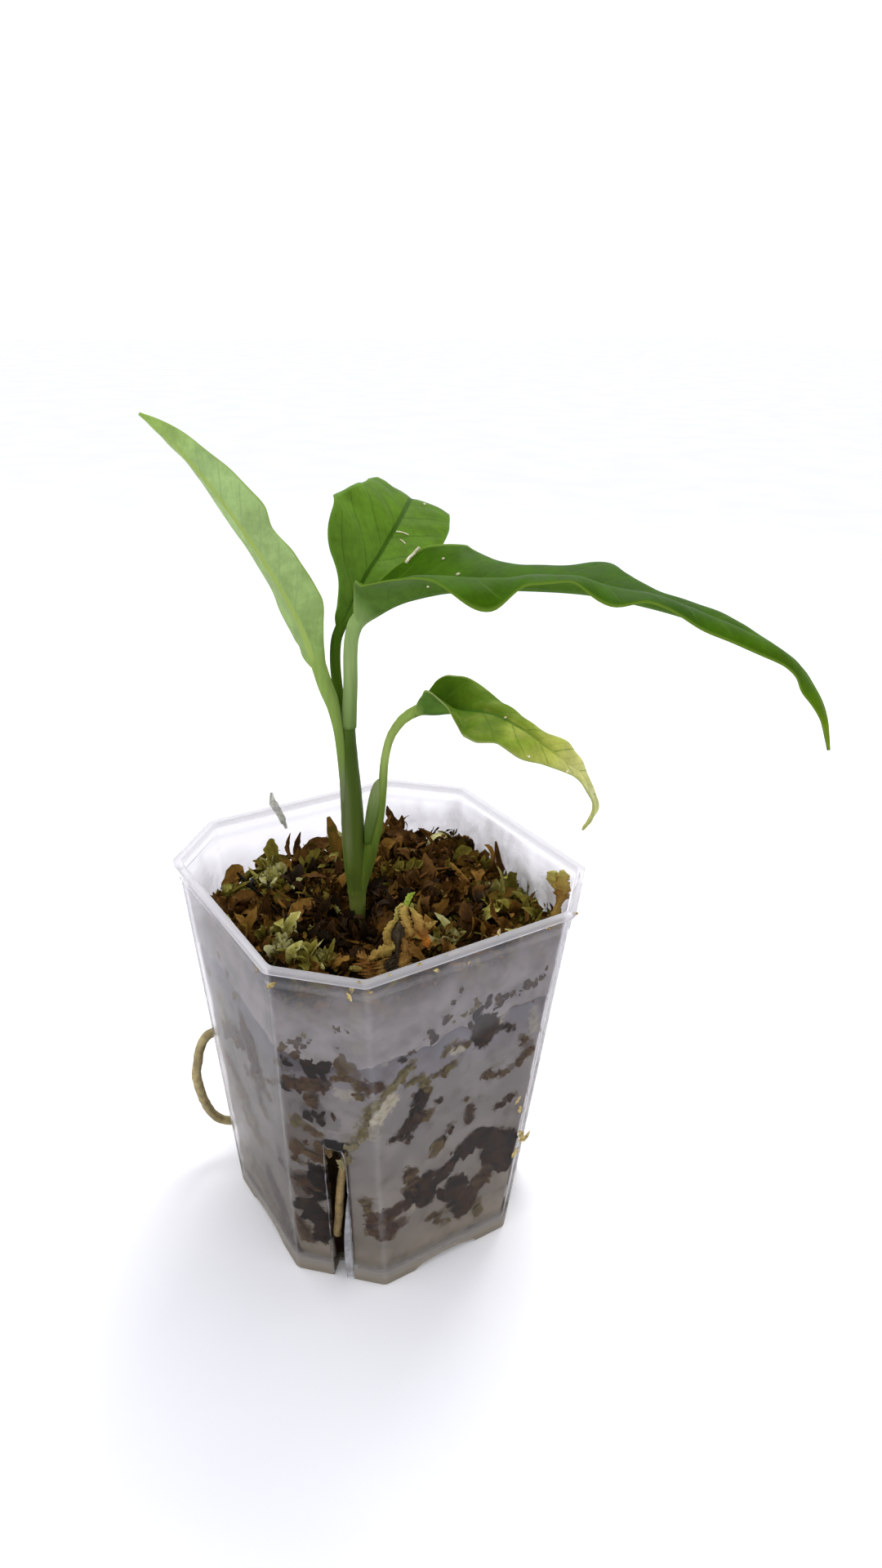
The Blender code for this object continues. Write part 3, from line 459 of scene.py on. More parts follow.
leafLow = {
    "petiole": [(-4.6, 1.4, 69.0), (-4.4, 1.3, 72.2), (-3.8, 1.2, 76.2), (-2.65, 1.1, 80.9), (-1.4, 0.9, 86.1),
                (-0.35, 0.8, 89.6), (0.25, 0.6, 92.8), (0.72, 0.4, 98.1), (1.1, 0.1, 103.3), (2.2, -0.7, 108.4),
                (4.0, -1.3, 111.7), (5.3, -1.6, 113.1)],
    "blade": [(7.3, -2.0, 114.5), (10.2, -4.0, 115.2), (13.1, -6.0, 116.1), (15.5, -7.0, 116.4),
              (18.7, -8.0, 116.6), (21.7, -9.5, 116.4), (24.7, -11.0, 115.4), (27.7, -12.5, 114.0),
              (31.4, -13.5, 111.4), (33.9, -14.0, 109.7), (36.2, -14.0, 108.0), (37.8, -13.5, 105.8),
              (39.5, -12.5, 102.5), (40.1, -11.0, 98.8), (38.9, -8.0, 93.4)],
    "radius": [(0, 1.2), (0.08, 1.35), (0.2, 1.65), (0.28, 1.7), (0.36, 1.5), (0.43, 1.15), (0.5, 0.9), (0.8, 0.8),
               (0.9, 0.9), (1, 1.1)],
    "face": [(0, 0.1, -0.3, 1), (0.3, 0.3, -0.6, 1), (0.7, 0.5, -0.7, 1), (0.85, 1, -0.5, 0.3),
             (1, 1, -0.4, -0.3)],
    "left": [(0, 1.1), (0.05, 4.2), (0.12, 7), (0.2, 7), (0.3, 6.4), (0.45, 5.6), (0.58, 5.6), (0.7, 2.6),
             (0.76, 1.2), (0.88, 1.3), (1, 0.2)],
    "right": [(0, 1.1), (0.05, 3.6), (0.12, 5.8), (0.18, 5.8), (0.25, 8.5), (0.33, 9.7), (0.4, 7.2), (0.46, 7.4),
              (0.55, 4.2), (0.66, 2), (0.76, 1.4), (0.88, 1.4), (1, 0.2)],
    "foldLeft": [(0, 0), (0.05, 60), (0.15, 35), (0.3, 20), (0.8, 15), (0.9, 30), (1, 30)],
    "foldRight": [(0, 0), (0.05, 75), (0.12, 70), (0.17, 50), (0.23, 14), (1, 10)],
    "bendLeft": [(0, 0), (0.15, -15), (0.3, -85), (0.45, -110), (0.58, -60), (0.75, -50), (0.9, 0), (1, 0)],
    "bendRight": [(0, 0), (1, 0)],
    "rib": 0.6,
    "ribLine": 0.5,
    "groove": 0.25,
    "quilt": 0.1,
    "veinGap": 6.0,
    "veinSlant": 1.0,
    "ripple": 12.0,
    "top": [(0, (82, 112, 36)), (0.14, (84, 116, 38)), (0.3, (112, 142, 46)), (0.45, (144, 168, 58)),
            (0.56, (190, 200, 90)), (0.64, (238, 234, 166)), (0.74, (252, 250, 216)), (1, (252, 246, 210))],
    "under": [(0, (92, 130, 60)), (0.3, (112, 144, 62)), (0.6, (196, 198, 114)), (0.74, (244, 240, 196)),
              (1, (248, 238, 194))],
    "stalk": [(0, (116, 136, 62)), (0.3, (104, 126, 54)), (0.55, (122, 146, 68)), (0.75, (176, 198, 112)),
              (1, (160, 186, 96))],
    "midrib": (92, 132, 54),
    "veins": (96, 134, 52),
    "edge": (176, 190, 120),
    "yellowing": {"colour": (212, 214, 112), "start": 0.24, "full": 0.8, "patch": 4.0},
    "ribEnd": (0.62, 0.3),
}


def leafSpine(form):
    line = form["petiole"] + form["blade"]
    run = np.concatenate([[0], np.cumsum(np.linalg.norm(np.diff(np.array(line), axis=0), axis=1))])
    joint = run[len(form["petiole"])] / run[-1]
    spine = np.vstack([smoothLine(line, leafGrid["stalkRows"] + 1, 0, joint)[:-1],
                       smoothLine(line, leafGrid["bladeRows"], joint, 1)])
    return spine, run[-1] * (1 - joint)


def leafPiece(name, form, seed):
    # petiole and blade as one closed skin, each row folded at the midrib
    spine, length = leafSpine(form)
    rows = len(spine)
    columns = leafGrid["columns"]
    stalk = np.clip(np.arange(rows) / leafGrid["stalkRows"], 0, 1)
    t = np.clip((np.arange(rows) - leafGrid["stalkRows"]) / (leafGrid["bladeRows"] - 1), 0, 1)
    along = unit(np.gradient(spine, axis=0))
    face = keyed(form["face"], t).T
    up = unit(face - (face * along).sum(1)[:, None] * along)
    left = np.cross(up, along)
    radius = keyed(form["radius"], stalk)[0]
    flat = np.clip(t / 0.12, 0, 1)
    share = np.abs(np.arange(-columns, columns + 1)) / columns
    middle = np.zeros((rows, 2 * columns + 1, 3))
    lift = np.zeros_like(middle)
    reach = np.zeros((rows, 2 * columns + 1))
    middle[:, columns] = spine
    lift[:, columns] = up
    for sign, side in ((1, "Left"), (-1, "Right")):
        width = np.where(t > 0, keyed(form[side.lower()], t)[0], radius)
        ripple = [noise.noise(Vector((v * length / 5.0, sign * 3.0, seed))) for v in t]
        width = width * (1 + 0.03 * np.array(ripple) * (t > 0.05))
        fold = np.radians(keyed(form["fold" + side], t)[0])
        bend = np.radians(keyed(form["bend" + side], t)[0])
        wave = [noise.noise(Vector((v * length / 7.0, sign * 5.0, seed + 4))) for v in t]
        bend = bend + np.radians(form["ripple"]) * np.array(wave) * np.clip(t * 8, 0, 1)
        x = np.zeros(rows)
        y = np.zeros(rows)
        for j in range(1, columns + 1):
            a = fold + bend * (j - 0.5) / columns
            x = x + width / columns * np.cos(a)
            y = y + width / columns * np.sin(a)
            at = columns - sign * j
            middle[:, at] = spine + sign * left * x[:, None] + up * y[:, None]
            lift[:, at] = unit(up * np.cos(a)[:, None] - sign * left * np.sin(a)[:, None])
            reach[:, at] = width * j / columns
    sideSign = np.sign(np.arange(-columns, columns + 1))[None, :]
    vein = (t[:, None] * length - form["veinSlant"] * reach ** 0.95) / form["veinGap"] + 0.25 * sideSign
    pillow = np.cos(2 * np.pi * vein) * form["quilt"] * np.clip(share * 3, 0, 1) * np.clip((1 - share) * 4, 0, 1)
    pillow = pillow * flat[:, None]
    groove = form["groove"] * np.exp(-(reach / 0.7) ** 2) * flat[:, None] * (1 - 0.6 * t)[:, None]
    roundOff = np.sqrt(np.clip(1 - share ** 2, 0.02, 1))
    thick = leafGrid["edge"] + (leafGrid["blade"] - leafGrid["edge"]) * np.clip((1 - share) * 5, 0, 1)
    above = (1 - flat)[:, None] * radius[:, None] * roundOff + flat[:, None] * thick / 2
    rib = form["rib"] * (1 - t)[:, None] * np.exp(-(reach / 1.1) ** 2)
    below = (1 - flat)[:, None] * radius[:, None] * roundOff + flat[:, None] * (thick / 2 + rib)
    upper = turned(middle + lift * (above + pillow - groove)[..., None])
    lower = turned(middle - lift * (below - pillow)[..., None])
    width = 2 * columns + 1
    faces = []
    under = rows * width
    for i in range(rows - 1):
        for j in range(width - 1):
            a = i * width + j
            b = a + width
            faces.append((a, b, b + 1, a + 1))
            faces.append((under + a, under + a + 1, under + b + 1, under + b))
        for j, turn in ((0, 1), (width - 1, -1)):
            a = i * width + j
            b = a + width
            faces.append((a, under + a, under + b, b)[::turn])
    for i, turn in ((0, -1), (rows - 1, 1)):
        for j in range(width - 1):
            a = i * width + j
            faces.append((a, under + a, under + a + 1, a + 1)[::turn])
    vertices = np.concatenate([upper.reshape(-1, 3), lower.reshape(-1, 3)])
    piece = meshPiece(name, vertices, faces, True,
                      name[:4] + "_" + name[4:].lower())
    turnOut(piece)
    place = np.zeros((2, rows, width, 4))
    place[..., 0] = t[None, :, None]
    place[..., 1] = share[None, None, :]
    place[0, ..., 2] = 1.0
    place[..., 3] = stalk[None, :, None]
    setAttribute(piece, "leafPlace", "FLOAT_COLOR", place)
    setAttribute(piece, "leafVein", "FLOAT", np.stack([vein, vein]))
    setAttribute(piece, "fromRib", "FLOAT", np.stack([reach, reach]))
    dress(piece, leafFinish(name, form))
    return piece


def leafFinish(name, form):
    paint = Shading(name + "Finish")
    place = paint.node("ShaderNodeSeparateColor", Color=paint.attribute("leafPlace", "Color"))
    t, share, upper = place.outputs[0], place.outputs[1], place.outputs[2]
    stalk = paint.attribute("leafPlace", "Alpha")
    fromRib = paint.attribute("fromRib")
    cells = paint.noise(0.55, 2, roughness=0.6)
    clouds = paint.noise(5, 3)
    top = paint.ramp(t, form["top"], seen)
    below = paint.ramp(t, form["under"], seen)
    colour = paint.mix(upper, below, top)
    if form["yellowing"]:
        age = form["yellowing"]
        patches = paint.math("ADD", paint.math("MULTIPLY", paint.noise(age["patch"], 4, shift=7.0), 0.9), t)
        spread = paint.span(patches, age["start"] + 0.42, age["full"] + 0.5)
        colour = paint.mix(paint.math("MULTIPLY", spread, 0.75), colour, seen(*age["colour"]))
    shade = paint.span(clouds, 0.3, 0.7, 0.86, 1.12)
    mottle = paint.span(paint.noise(1.6, 3, roughness=0.6, shift=4.0), 0.3, 0.7, 0.92, 1.07)
    grain = paint.span(cells, 0.25, 0.75, 0.95, 1.05)
    tone = paint.math("MULTIPLY", paint.math("MULTIPLY", shade, mottle), grain)
    toned = paint.node("ShaderNodeVectorMath", {"operation": "SCALE"}, i0=colour, Scale=tone).outputs[0]
    wobble = paint.math("MULTIPLY", paint.noise(3, 1, shift=2.0), 0.12)
    phase = paint.math("PINGPONG", paint.math("ADD", paint.attribute("leafVein"), wobble), 0.5)
    veinLine = paint.span(phase, 0.462, 0.5)
    small = paint.math("PINGPONG", paint.math("MULTIPLY", paint.attribute("leafVein"), 3.0), 0.5)
    smallLine = paint.math("MULTIPLY", paint.span(small, 0.44, 0.5), 0.35)
    lines = paint.math("MAXIMUM", veinLine, smallLine)
    inside = paint.math("MULTIPLY", paint.span(share, 0.98, 0.8), paint.span(t, 0.02, 0.1))
    lines = paint.math("MULTIPLY", paint.math("MULTIPLY", lines, inside), 0.7)
    veined = paint.mix(lines, toned, seen(*form["veins"]))
    ribLine = paint.math("MULTIPLY", paint.span(fromRib, form["ribLine"], form["ribLine"] * 0.4),
                         paint.span(t, 0.0, 0.03))
    ribLine = paint.math("MULTIPLY", ribLine, paint.span(t, *form.get("ribEnd", (1.0, 0.75))))
    ribbed = paint.mix(paint.math("MULTIPLY", ribLine, 0.8), veined, seen(*form["midrib"]))
    rim = paint.math("MULTIPLY", paint.span(share, 0.93, 1.0), 0.8)
    edged = paint.mix(rim, ribbed, seen(*form["edge"]))
    stalkColour = paint.ramp(stalk, form["stalk"], seen)
    streaks = paint.span(paint.noise(1.2, 2, (1, 1, 0.08)), 0.3, 0.7, 0.9, 1.08)
    stalkColour = paint.node("ShaderNodeVectorMath", {"operation": "SCALE"}, i0=stalkColour,
                             Scale=streaks).outputs[0]
    final = paint.mix(paint.span(t, 0.0, 0.06), stalkColour, edged)
    relief = paint.bump(cells, 0.25, 0.06)
    relief = paint.bump(lines, 0.5, -0.12, relief)
    gloss = paint.span(clouds, 0.3, 0.7, 0.4, 0.5)
    return paint.finish(Base_Color=final, Roughness=gloss, Normal=relief, Specular_IOR_Level=0.014,
                        Subsurface_Weight=0.05, Subsurface_Radius=(1.0, 1.0, 0.4), Subsurface_Scale=0.0006)


leafPiece("leafLong", leafLong, 1.0)
leafPiece("leafBack", leafBack, 2.0)
leafPiece("leafYoung", leafYoung, 3.0)
leafPiece("leafLow", leafLow, 4.0)
print("the four leaves are in place")

# Stem

stemForm = {
    "points": [(-4.6, 1.5, 57.0, 1.5), (-4.6, 1.5, 66.0, 1.66), (-4.6, 1.5, 71.4, 1.68), (-4.75, 1.4, 75.5, 1.95),
               (-5.0, 1.0, 81.7, 2.3), (-5.4, 0.5, 94.6, 2.15), (-5.75, 0.0, 103.0, 1.85), (-5.85, -0.3, 108.5, 1.55),
               (-5.75, -0.45, 110.4, 1.42), (-5.7, -0.5, 111.6, 1.3)],
    "scar": (73.5, 0.1),
    # the colours up to 0.27 are painted lighter than the stem's own green, to offset the shade the moss casts on its
    # foot
    "colours": [(0, (130, 142, 64)), (0.27, (132, 146, 70)), (0.33, (102, 120, 54)), (0.6, (92, 110, 46)),
                (0.9, (76, 100, 36)), (1, (86, 112, 46))],
    # the entry below is a painted highlight, the bright room's reflection painted as a pale stripe down the stem
    "stemHighlight": {"angle": -0.4, "wide": 0.3, "from": 80.0, "to": 104.0, "colour": (138, 142, 112), "share": 0.45},
}


def stemPiece():
    line = [(*turned([p[:3]])[0], p[3]) for p in stemForm["points"]]
    vertices, faces = tubeShape(line, 90, 28, 1.0, 0.03)
    height, swell = stemForm["scar"]
    centre = smoothLine(line, 90)[:, :3]
    for i, v in enumerate(vertices):
        ring = math.exp(-((v[2] - height) / 0.35) ** 2)
        axis = centre[i // 28]
        vertices[i] = axis + (v - axis) * (1 + swell * ring)
    piece = meshPiece("stem", vertices, faces, True, "stem")
    turnOut(piece)
    high = [(v[2] - 57.0) / 55.0 for v in vertices]
    setAttribute(piece, "height", "FLOAT", high)
    # a painted highlight: a pale stripe of the bright room's reflection painted down the stem, left of the middle seen
    # from the front
    stemHighlight = stemForm["stemHighlight"]
    right, front = turned([(1, 0, 0), (0, -1, 0)])
    shares = []
    for i, v in enumerate(vertices):
        away = v - centre[i // 28]
        angle = math.atan2(away @ right, away @ front)
        fade = min(1, max(0, (v[2] - stemHighlight["from"]) / 6)) * min(1, max(0, (stemHighlight["to"] - v[2]) / 6))
        shares.append(fade * math.exp(-((angle - stemHighlight["angle"]) / stemHighlight["wide"]) ** 2))
    setAttribute(piece, "stemHighlight", "FLOAT", shares)
    paint = Shading("stemFinish")
    colour = paint.ramp(paint.attribute("height"), stemForm["colours"], seen)
    # mix the painted highlight stripe into the stem's colour
    colour = paint.mix(paint.math("MULTIPLY", paint.attribute("stemHighlight"), stemHighlight["share"]), colour,
                       seen(*stemHighlight["colour"]))
    streaks = paint.span(paint.noise(1.0, 3, (1, 1, 0.06)), 0.25, 0.75, 0.84, 1.12)
    toned = paint.node("ShaderNodeVectorMath", {"operation": "SCALE"}, i0=colour, Scale=streaks).outputs[0]
    relief = paint.bump(paint.noise(0.5, 2, (1, 1, 0.1)), 0.2, 0.05)
    dress(piece, paint.finish(Base_Color=toned, Roughness=0.45, Normal=relief, Specular_IOR_Level=0.12))


stemPiece()
print("the stem is in place")

# Pot: square with cut corners, walls leaning out, a rim, a slot in each cut corner and an arch under each wall

potForm = {
    "height": 81.0,
    "halves": (28.1, 34.2),
    "cuts": (13.4, 12.4),
    "wall": 0.75,
    "floor": 0.8,
    "rimOut": 0.8,
    "rimHigh": 1.3,
    "ridgeLevel": 76.8,
    "edgeRound": 2.2,
    "edgeSteps": 7,
    "slotTop": 38.0,
    "slotWide": (4.4, 4.2),
    "slotShift": 0.6,
    "arch": (16.0, 2.0, 0.8),
    "warp": 0.08,
    "tint": (234, 232, 232),
    "upperTint": (227, 225, 227),
    "footTint": (176, 166, 150),
    "clear": (0.993, 0.955),
    "clearFrom": (63.0, 68.0),
    "fogSlope": 0.095,
    # "edges" below is a painted highlight: the upright edges of the wall made whiter
    "whiter": {"foot": 0.46, "rim": 0.3, "ridge": 0.06, "edges": 0.07},
    "frost": (0.19, 0.25),
    "bend": 1.055,
}


def halfAt(z):
    low, high = potForm["halves"]
    return low + (high - low) * z / potForm["height"]


def cutAt(z):
    low, high = potForm["cuts"]
    return low + (high - low) * z / potForm["height"]


def wallFaces():
    # direction of each of the eight walls, its distance at the foot and its lean
    faces = []
    for k in range(8):
        a = math.radians(45 * k)
        low, high = [halfAt(z) if k % 2 == 0 else (2 * halfAt(z) - cutAt(z)) / math.sqrt(2) for z in (0, 81)]
        faces.append((np.array((math.cos(a), math.sin(a), 0)), low, (high - low) / 81))
    return faces


def innerReach(x, y, z):
    # how far the inside of the wall is in the direction of each point
    x, y, z = [np.asarray(v, float) for v in (x, y, z)]
    reach = np.maximum(np.hypot(x, y), 1e-6)
    limit = np.full(reach.shape, 99.0)
    for out, low, lean in wallFaces():
        towards = (x * out[0] + y * out[1]) / reach
        wall = low + lean * z - potForm["wall"]
        limit = np.where(towards > 0.2, np.minimum(limit, wall / np.maximum(towards, 0.2)), limit)
    return limit


def keepInside(points, gap):
    # points below the rim stay a little inside the wall
    p = np.array(points, float)
    limit = innerReach(p[:, 0], p[:, 1], p[:, 2]) - gap
    share = np.minimum(1, limit / np.maximum(np.hypot(p[:, 0], p[:, 1]), 1e-6))
    p[:, :2] *= np.where(p[:, 2] < potForm["height"] + 0.5, share, 1)[:, None]
    return p


def wallSpot(px, py, deep):
    # where the line through a pixel meets a wall, and a point that deep behind its face
    eye, ray = sightLine(px, py)
    reached = []
    for out, low, lean in wallFaces():
        slant = out @ ray - lean * ray[2]
        if slant < 0:
            reached.append(((low + lean * eye[2] - out @ eye) / slant, tuple(out)))
    t, out = max(reached)
    return eye + t * ray - np.array(out) * deep, np.array(out)


def wallRing(z, out=0.0):
    half = halfAt(z) + out
    edge = half - cutAt(z) - out * (2 - math.sqrt(2))
    corners = [(-half, -edge), (-edge, -half), (edge, -half), (half, -edge), (half, edge), (edge, half),
               (-edge, half), (-half, edge)]
    ring = []
    reach = potForm["edgeRound"] * math.tan(math.pi / 8)
    steps = potForm["edgeSteps"]
    for i in range(8):
        here = Vector(corners[i])
        before = (Vector(corners[i - 1]) - here).normalized()
        after = (Vector(corners[(i + 1) % 8]) - here).normalized()
        a = here + before * reach
        b = here + after * reach
        for k in range(steps):
            t = k / (steps - 1)
            p = a * (1 - t) ** 2 + here * 2 * t * (1 - t) + b * t ** 2
            ring.append((p.x, p.y, z))
    return ring


def loft(name, rings):
    # closed skin over rings that have the same number of points
    count = len(rings[0])
    vertices = [v for ring in rings for v in ring]
    faces = [tuple(range(count))[::-1], tuple(range(len(vertices) - count, len(vertices)))]
    for i in range(len(rings) - 1):
        for k in range(count):
            j = (k + 1) % count
            faces.append((i * count + k, i * count + j, (i + 1) * count + j, (i + 1) * count + k))
    mesh = bpy.data.meshes.new(name)
    mesh.from_pydata([tuple(c * mm for c in v) for v in vertices], [], faces)
    shape = bpy.data.objects.new(name, mesh)
    bpy.context.scene.collection.objects.link(shape)
    bm = bmesh.new()
    bm.from_mesh(mesh)
    bmesh.ops.recalc_face_normals(bm, faces=bm.faces)
    bm.to_mesh(mesh)
    bm.free()
    return shape


def archCutter(face, grow):
    wide, high, hood = potForm["arch"]
    outline = []
    for k in range(17):
        a = math.pi * k / 16
        outline.append((-math.cos(a) * (wide / 2 + grow), math.sin(a) * (high + grow)))
    turn = math.radians(90 * face)
    rings = []
    for beyond, share in ((4.0, 1.0), (-4.0, 0.9), (-8.0, 0.55)):
        reach = potForm["halves"][0] + beyond + (grow if beyond > 0 else -grow)
        ring = []
        for u, v in outline + [(wide / 2 + grow, -2.0), (-wide / 2 - grow, -2.0)]:
            u = u * share
            v = v * share if v > 0 else v
            ring.append((u * math.cos(turn) + reach * math.sin(turn),
                         u * math.sin(turn) - reach * math.cos(turn), v))
        rings.append(ring)
    return loft("archCutter", rings)


def slotOutline():
    # across the cut corner and up, from its middle
    foot, top = potForm["slotWide"]
    high = potForm["slotTop"]
    return ((-foot / 2, -1.0), (foot / 2, -1.0), (top / 2, high - 4.0), (top * 0.1, high), (-top * 0.35, high),
            (-top / 2, high - 1.3))


def slotCutter(corner):
    out = Vector((corner[0], corner[1], 0)).normalized()
    side = Vector((-out.y, out.x, 0))
    face = (2 * potForm["halves"][0] - potForm["cuts"][0]) / math.sqrt(2)
    rings = []
    for reach in (face - 4.0, face + 9.0):
        rings.append([tuple(out * reach + side * (u + potForm["slotShift"]) + Vector((0, 0, z)))
                      for u, z in slotOutline()])
    return loft("slotCutter", rings)


def cutBy(shape, cutters):
    group = bpy.data.collections.new("cutters")
    for cutter in cutters:
        group.objects.link(cutter)
    change = shape.modifiers.new("cut", "BOOLEAN")
    change.operation = "DIFFERENCE"
    change.solver = "EXACT"
    change.operand_type = "COLLECTION"
    change.collection = group
    bpy.context.view_layer.update()
    result = bpy.data.meshes.new_from_object(shape.evaluated_get(bpy.context.evaluated_depsgraph_get()))
    shape.modifiers.clear()
    shape.data = result
    for cutter in cutters:
        bpy.data.objects.remove(cutter)
    bpy.data.collections.remove(group)


def potFinish():
    # clear as glass where it touches the filling, milky at the rim, the ridge and the foot, and whiter along the
    # upright edges as a painted highlight
    paint = Shading("frostedPlastic")
    cloud = paint.span(paint.noise(14, 3), 0.3, 0.7)
    slope = potForm["fogSlope"]
    place = paint.node("ShaderNodeTexCoord").outputs["Object"]
    tilt = (slope * math.sin(plantTurn), -slope * math.cos(plantTurn), 1)
    overMoss = paint.node("ShaderNodeVectorMath", {"operation": "DOT_PRODUCT"}, i0=place, i1=tilt).outputs["Value"]
    high = paint.node("ShaderNodeSeparateXYZ", Vector=place).outputs[2]
    start, end = [v * mm for v in potForm["clearFrom"]]
    above = paint.span(paint.math("ADD", overMoss, paint.math("MULTIPLY", cloud, 0.004)), start, end)
    colour = paint.mix(above, linear(*potForm["tint"]), linear(*potForm["upperTint"]))
    frost = paint.span(cloud, 0, 1, *potForm["frost"])
    whiter = potForm["whiter"]
    foot = paint.span(high, 0.001, 0.0065, 1.0, 0.0)
    colour = paint.mix(foot, colour, linear(*potForm["footTint"]))
    clear = paint.span(above, 0, 1, *potForm["clear"])
    ridge = potForm["ridgeLevel"] * mm
    lines = ((foot, whiter["foot"]),
             (paint.span(high, 0.0792, 0.0799), whiter["rim"]),
             (paint.math("MULTIPLY", paint.span(high, ridge - 0.0003, ridge), paint.span(high, ridge + 0.0012,
                                                                                       ridge + 0.0006)),
              whiter["ridge"]),
             # the upright edges are whitened as a painted highlight
             (paint.attribute("potEdgeHighlight"), whiter["edges"]))
    for share, size in lines:
        clear = paint.math("SUBTRACT", clear, paint.math("MULTIPLY", share, size))
    return paint.finish(Base_Color=colour, Roughness=frost, IOR=potForm["bend"],
                        Transmission_Weight=clear)


def edgeShare(points):
    # 1 on the eight upright edges of the wall, 0 a little beside them
    p = np.asarray(points, float)
    half = halfAt(p[:, 2])
    edge = half - cutAt(p[:, 2])
    a = np.maximum(np.abs(p[:, 0]), np.abs(p[:, 1]))
    b = np.minimum(np.abs(p[:, 0]), np.abs(p[:, 1]))
    gap = np.hypot(a - half, b - edge)
    return np.clip(1 - gap / 1.1, 0, 1)


def potPiece():
    top = potForm["height"]
    ridge = potForm["ridgeLevel"]
    rimOut = potForm["rimOut"]
    lip = top - potForm["rimHigh"]
    levels = [(z, 0.0) for z in np.linspace(0.0, ridge - 0.3, 40)]
    levels += [(ridge, 0.12), (ridge + 0.25, 0.25), (ridge + 0.55, 0.22), (ridge + 0.8, 0.05), (ridge + 1.4, 0.0),
               (lip - 0.15, 0.0), (lip, rimOut * 0.5), (lip + 0.12, rimOut * 0.92), (lip + 0.4, rimOut),
               (top - 0.35, rimOut), (top - 0.12, rimOut - 0.1), (top, rimOut - 0.32)]
    levels[0] = (0.0, -0.25)
    levels.insert(1, (0.25, 0.0))
    pot = loft("potWall", [wallRing(z, out) for z, out in levels])
    cutBy(pot, [archCutter(face, 0.0) for face in range(4)])
    inner = [(z, -potForm["wall"]) for z in np.linspace(potForm["floor"], top - 0.3, 30)]
    inner += [(top - 0.1, -potForm["wall"] + 0.08), (top + 0.02, -potForm["wall"] + 0.28),
              (top + 1.0, -potForm["wall"] + 0.28)]
    cavity = loft("cavity", [wallRing(z, out) for z, out in inner])
    cutBy(cavity, [archCutter(face, potForm["arch"][2]) for face in range(4)])
    cutBy(pot, [cavity])
    cutBy(pot, [slotCutter(corner) for corner in ((-1, -1), (1, -1), (1, 1), (-1, 1))])
    for v in pot.data.vertices:
        x, y, z = v.co
        swell = potForm["warp"] * noise.noise(Vector((x * 45, y * 45, z * 30)))
        out = Vector((x, y, 0)).normalized() * swell * mm * min(1, z / mm / 10)
        v.co += out
    # mark the upright edges for the painted highlight
    setAttribute(pot, "potEdgeHighlight", "FLOAT", edgeShare([v.co / mm for v in pot.data.vertices]))
    pot.data.polygons.foreach_set("use_smooth", [True] * len(pot.data.polygons))
    pot.data.set_sharp_from_angle(angle=math.radians(32))
    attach(pot, "root")
    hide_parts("pot")
    dress(pot, potFinish())


potPiece()
print("the pot is in place")

# Burrs: the whitish raised edges of the four slots, and the bent flap of the front one

burrForm = {"wide": 0.3, "flapWide": 1.5, "flapHigh": 26.0, "flapOut": 0.8, "colours": ((196, 196, 200), (150, 146, 144))}


def slotFlap():
    # the front slot's right edge, bent out a little as a thin tongue
    out = np.array([-1, -1, 0]) / math.sqrt(2)
    side = np.array([-out[1], out[0], 0])
    right = max(u for u, z in slotOutline()) + potForm["slotShift"]
    shape = [[], []]
    rows = 24
    for i in range(rows):
        z = 1.0 + burrForm["flapHigh"] * i / (rows - 1)
        reach = (2 * halfAt(z) - cutAt(z)) / math.sqrt(2)
        share = math.sin(math.pi * min(1, 0.35 + 0.65 * i / (rows - 1)))
        for j in range(5):
            inward = burrForm["flapWide"] * share * j / 4
            bulge = burrForm["flapOut"] * share * (j / 4) ** 1.5
            bulge += 0.15 * noise.noise(Vector((z * 0.3, j * 0.4, 2.0)))
            spot = out * (reach - 0.1 + bulge) + side * (right - inward) + np.array([0, 0, z])
            for level, lift in ((0, 0.0), (1, -0.25)):
                shape[level].append(spot + out * lift)
    faces = []
    lower = rows * 5
    for i in range(rows - 1):
        for j in range(4):
            a = i * 5 + j
            faces.append((a, a + 1, a + 6, a + 5))
            faces.append((lower + a, lower + a + 5, lower + a + 6, lower + a + 1))
        for j in (0, 4):
            a = i * 5 + j
            faces.append((a, a + 5, lower + a + 5, lower + a))
    for i in (0, rows - 1):
        for j in range(4):
            a = i * 5 + j
            faces.append((a, a + 1, lower + a + 1, lower + a))
    return shape[0] + shape[1], faces, 0.5


def burrs():
    bits = Gather()
    slope = (halfAt(81) - halfAt(0)) / 81
    for corner in ((-1, -1), (1, -1), (1, 1), (-1, 1)):
        out = np.array([corner[0], corner[1], 0]) / math.sqrt(2)
        side = np.array([-out[1], out[0], 0])
        edge = slotOutline()[1:] + slotOutline()[:1]
        path = smoothLine([(u + potForm["slotShift"], z) + (0,) for u, z in edge], 90)
        face = [(2 * halfAt(z) - cutAt(z)) / math.sqrt(2) for z in path[:, 1]]
        line = []
        for (u, z, _), reach in zip(path, face):
            if z > 0.6:
                drift = 0.12 * noise.noise(Vector((u * 0.8, z * 0.6, corner[0] * 3 + corner[1])))
                thick = burrForm["wide"] / 2 * (0.55 + 1.3 * noise.noise(Vector((z * 0.5, u, 4.0 + corner[0]))))
                spot = out * (reach - 0.1) + side * (u + drift) + np.array([0, 0, z])
                line.append((*spot, max(0.04, thick)))
        vertices, faces = tubeShape(line, 120, 7, 0.8)
        bits.add(vertices, faces, 0.5)
    bits.add(*slotFlap())
    piece = bits.piece("slotBurrs", "pot")
    turnOut(piece)
    paint = Shading("burrFinish")
    first, last = burrForm["colours"]
    colour = paint.mix(paint.span(paint.noise(2.5, 3), 0.35, 0.65), linear(*first), linear(*last))
    dress(piece, paint.finish(Base_Color=colour, Roughness=0.5, Transmission_Weight=0.6, IOR=1.15))


burrs()
print("the slot edges are in place")

# Moss: a dark body, loose ends on top, and clumps pressed against the wall that show through it

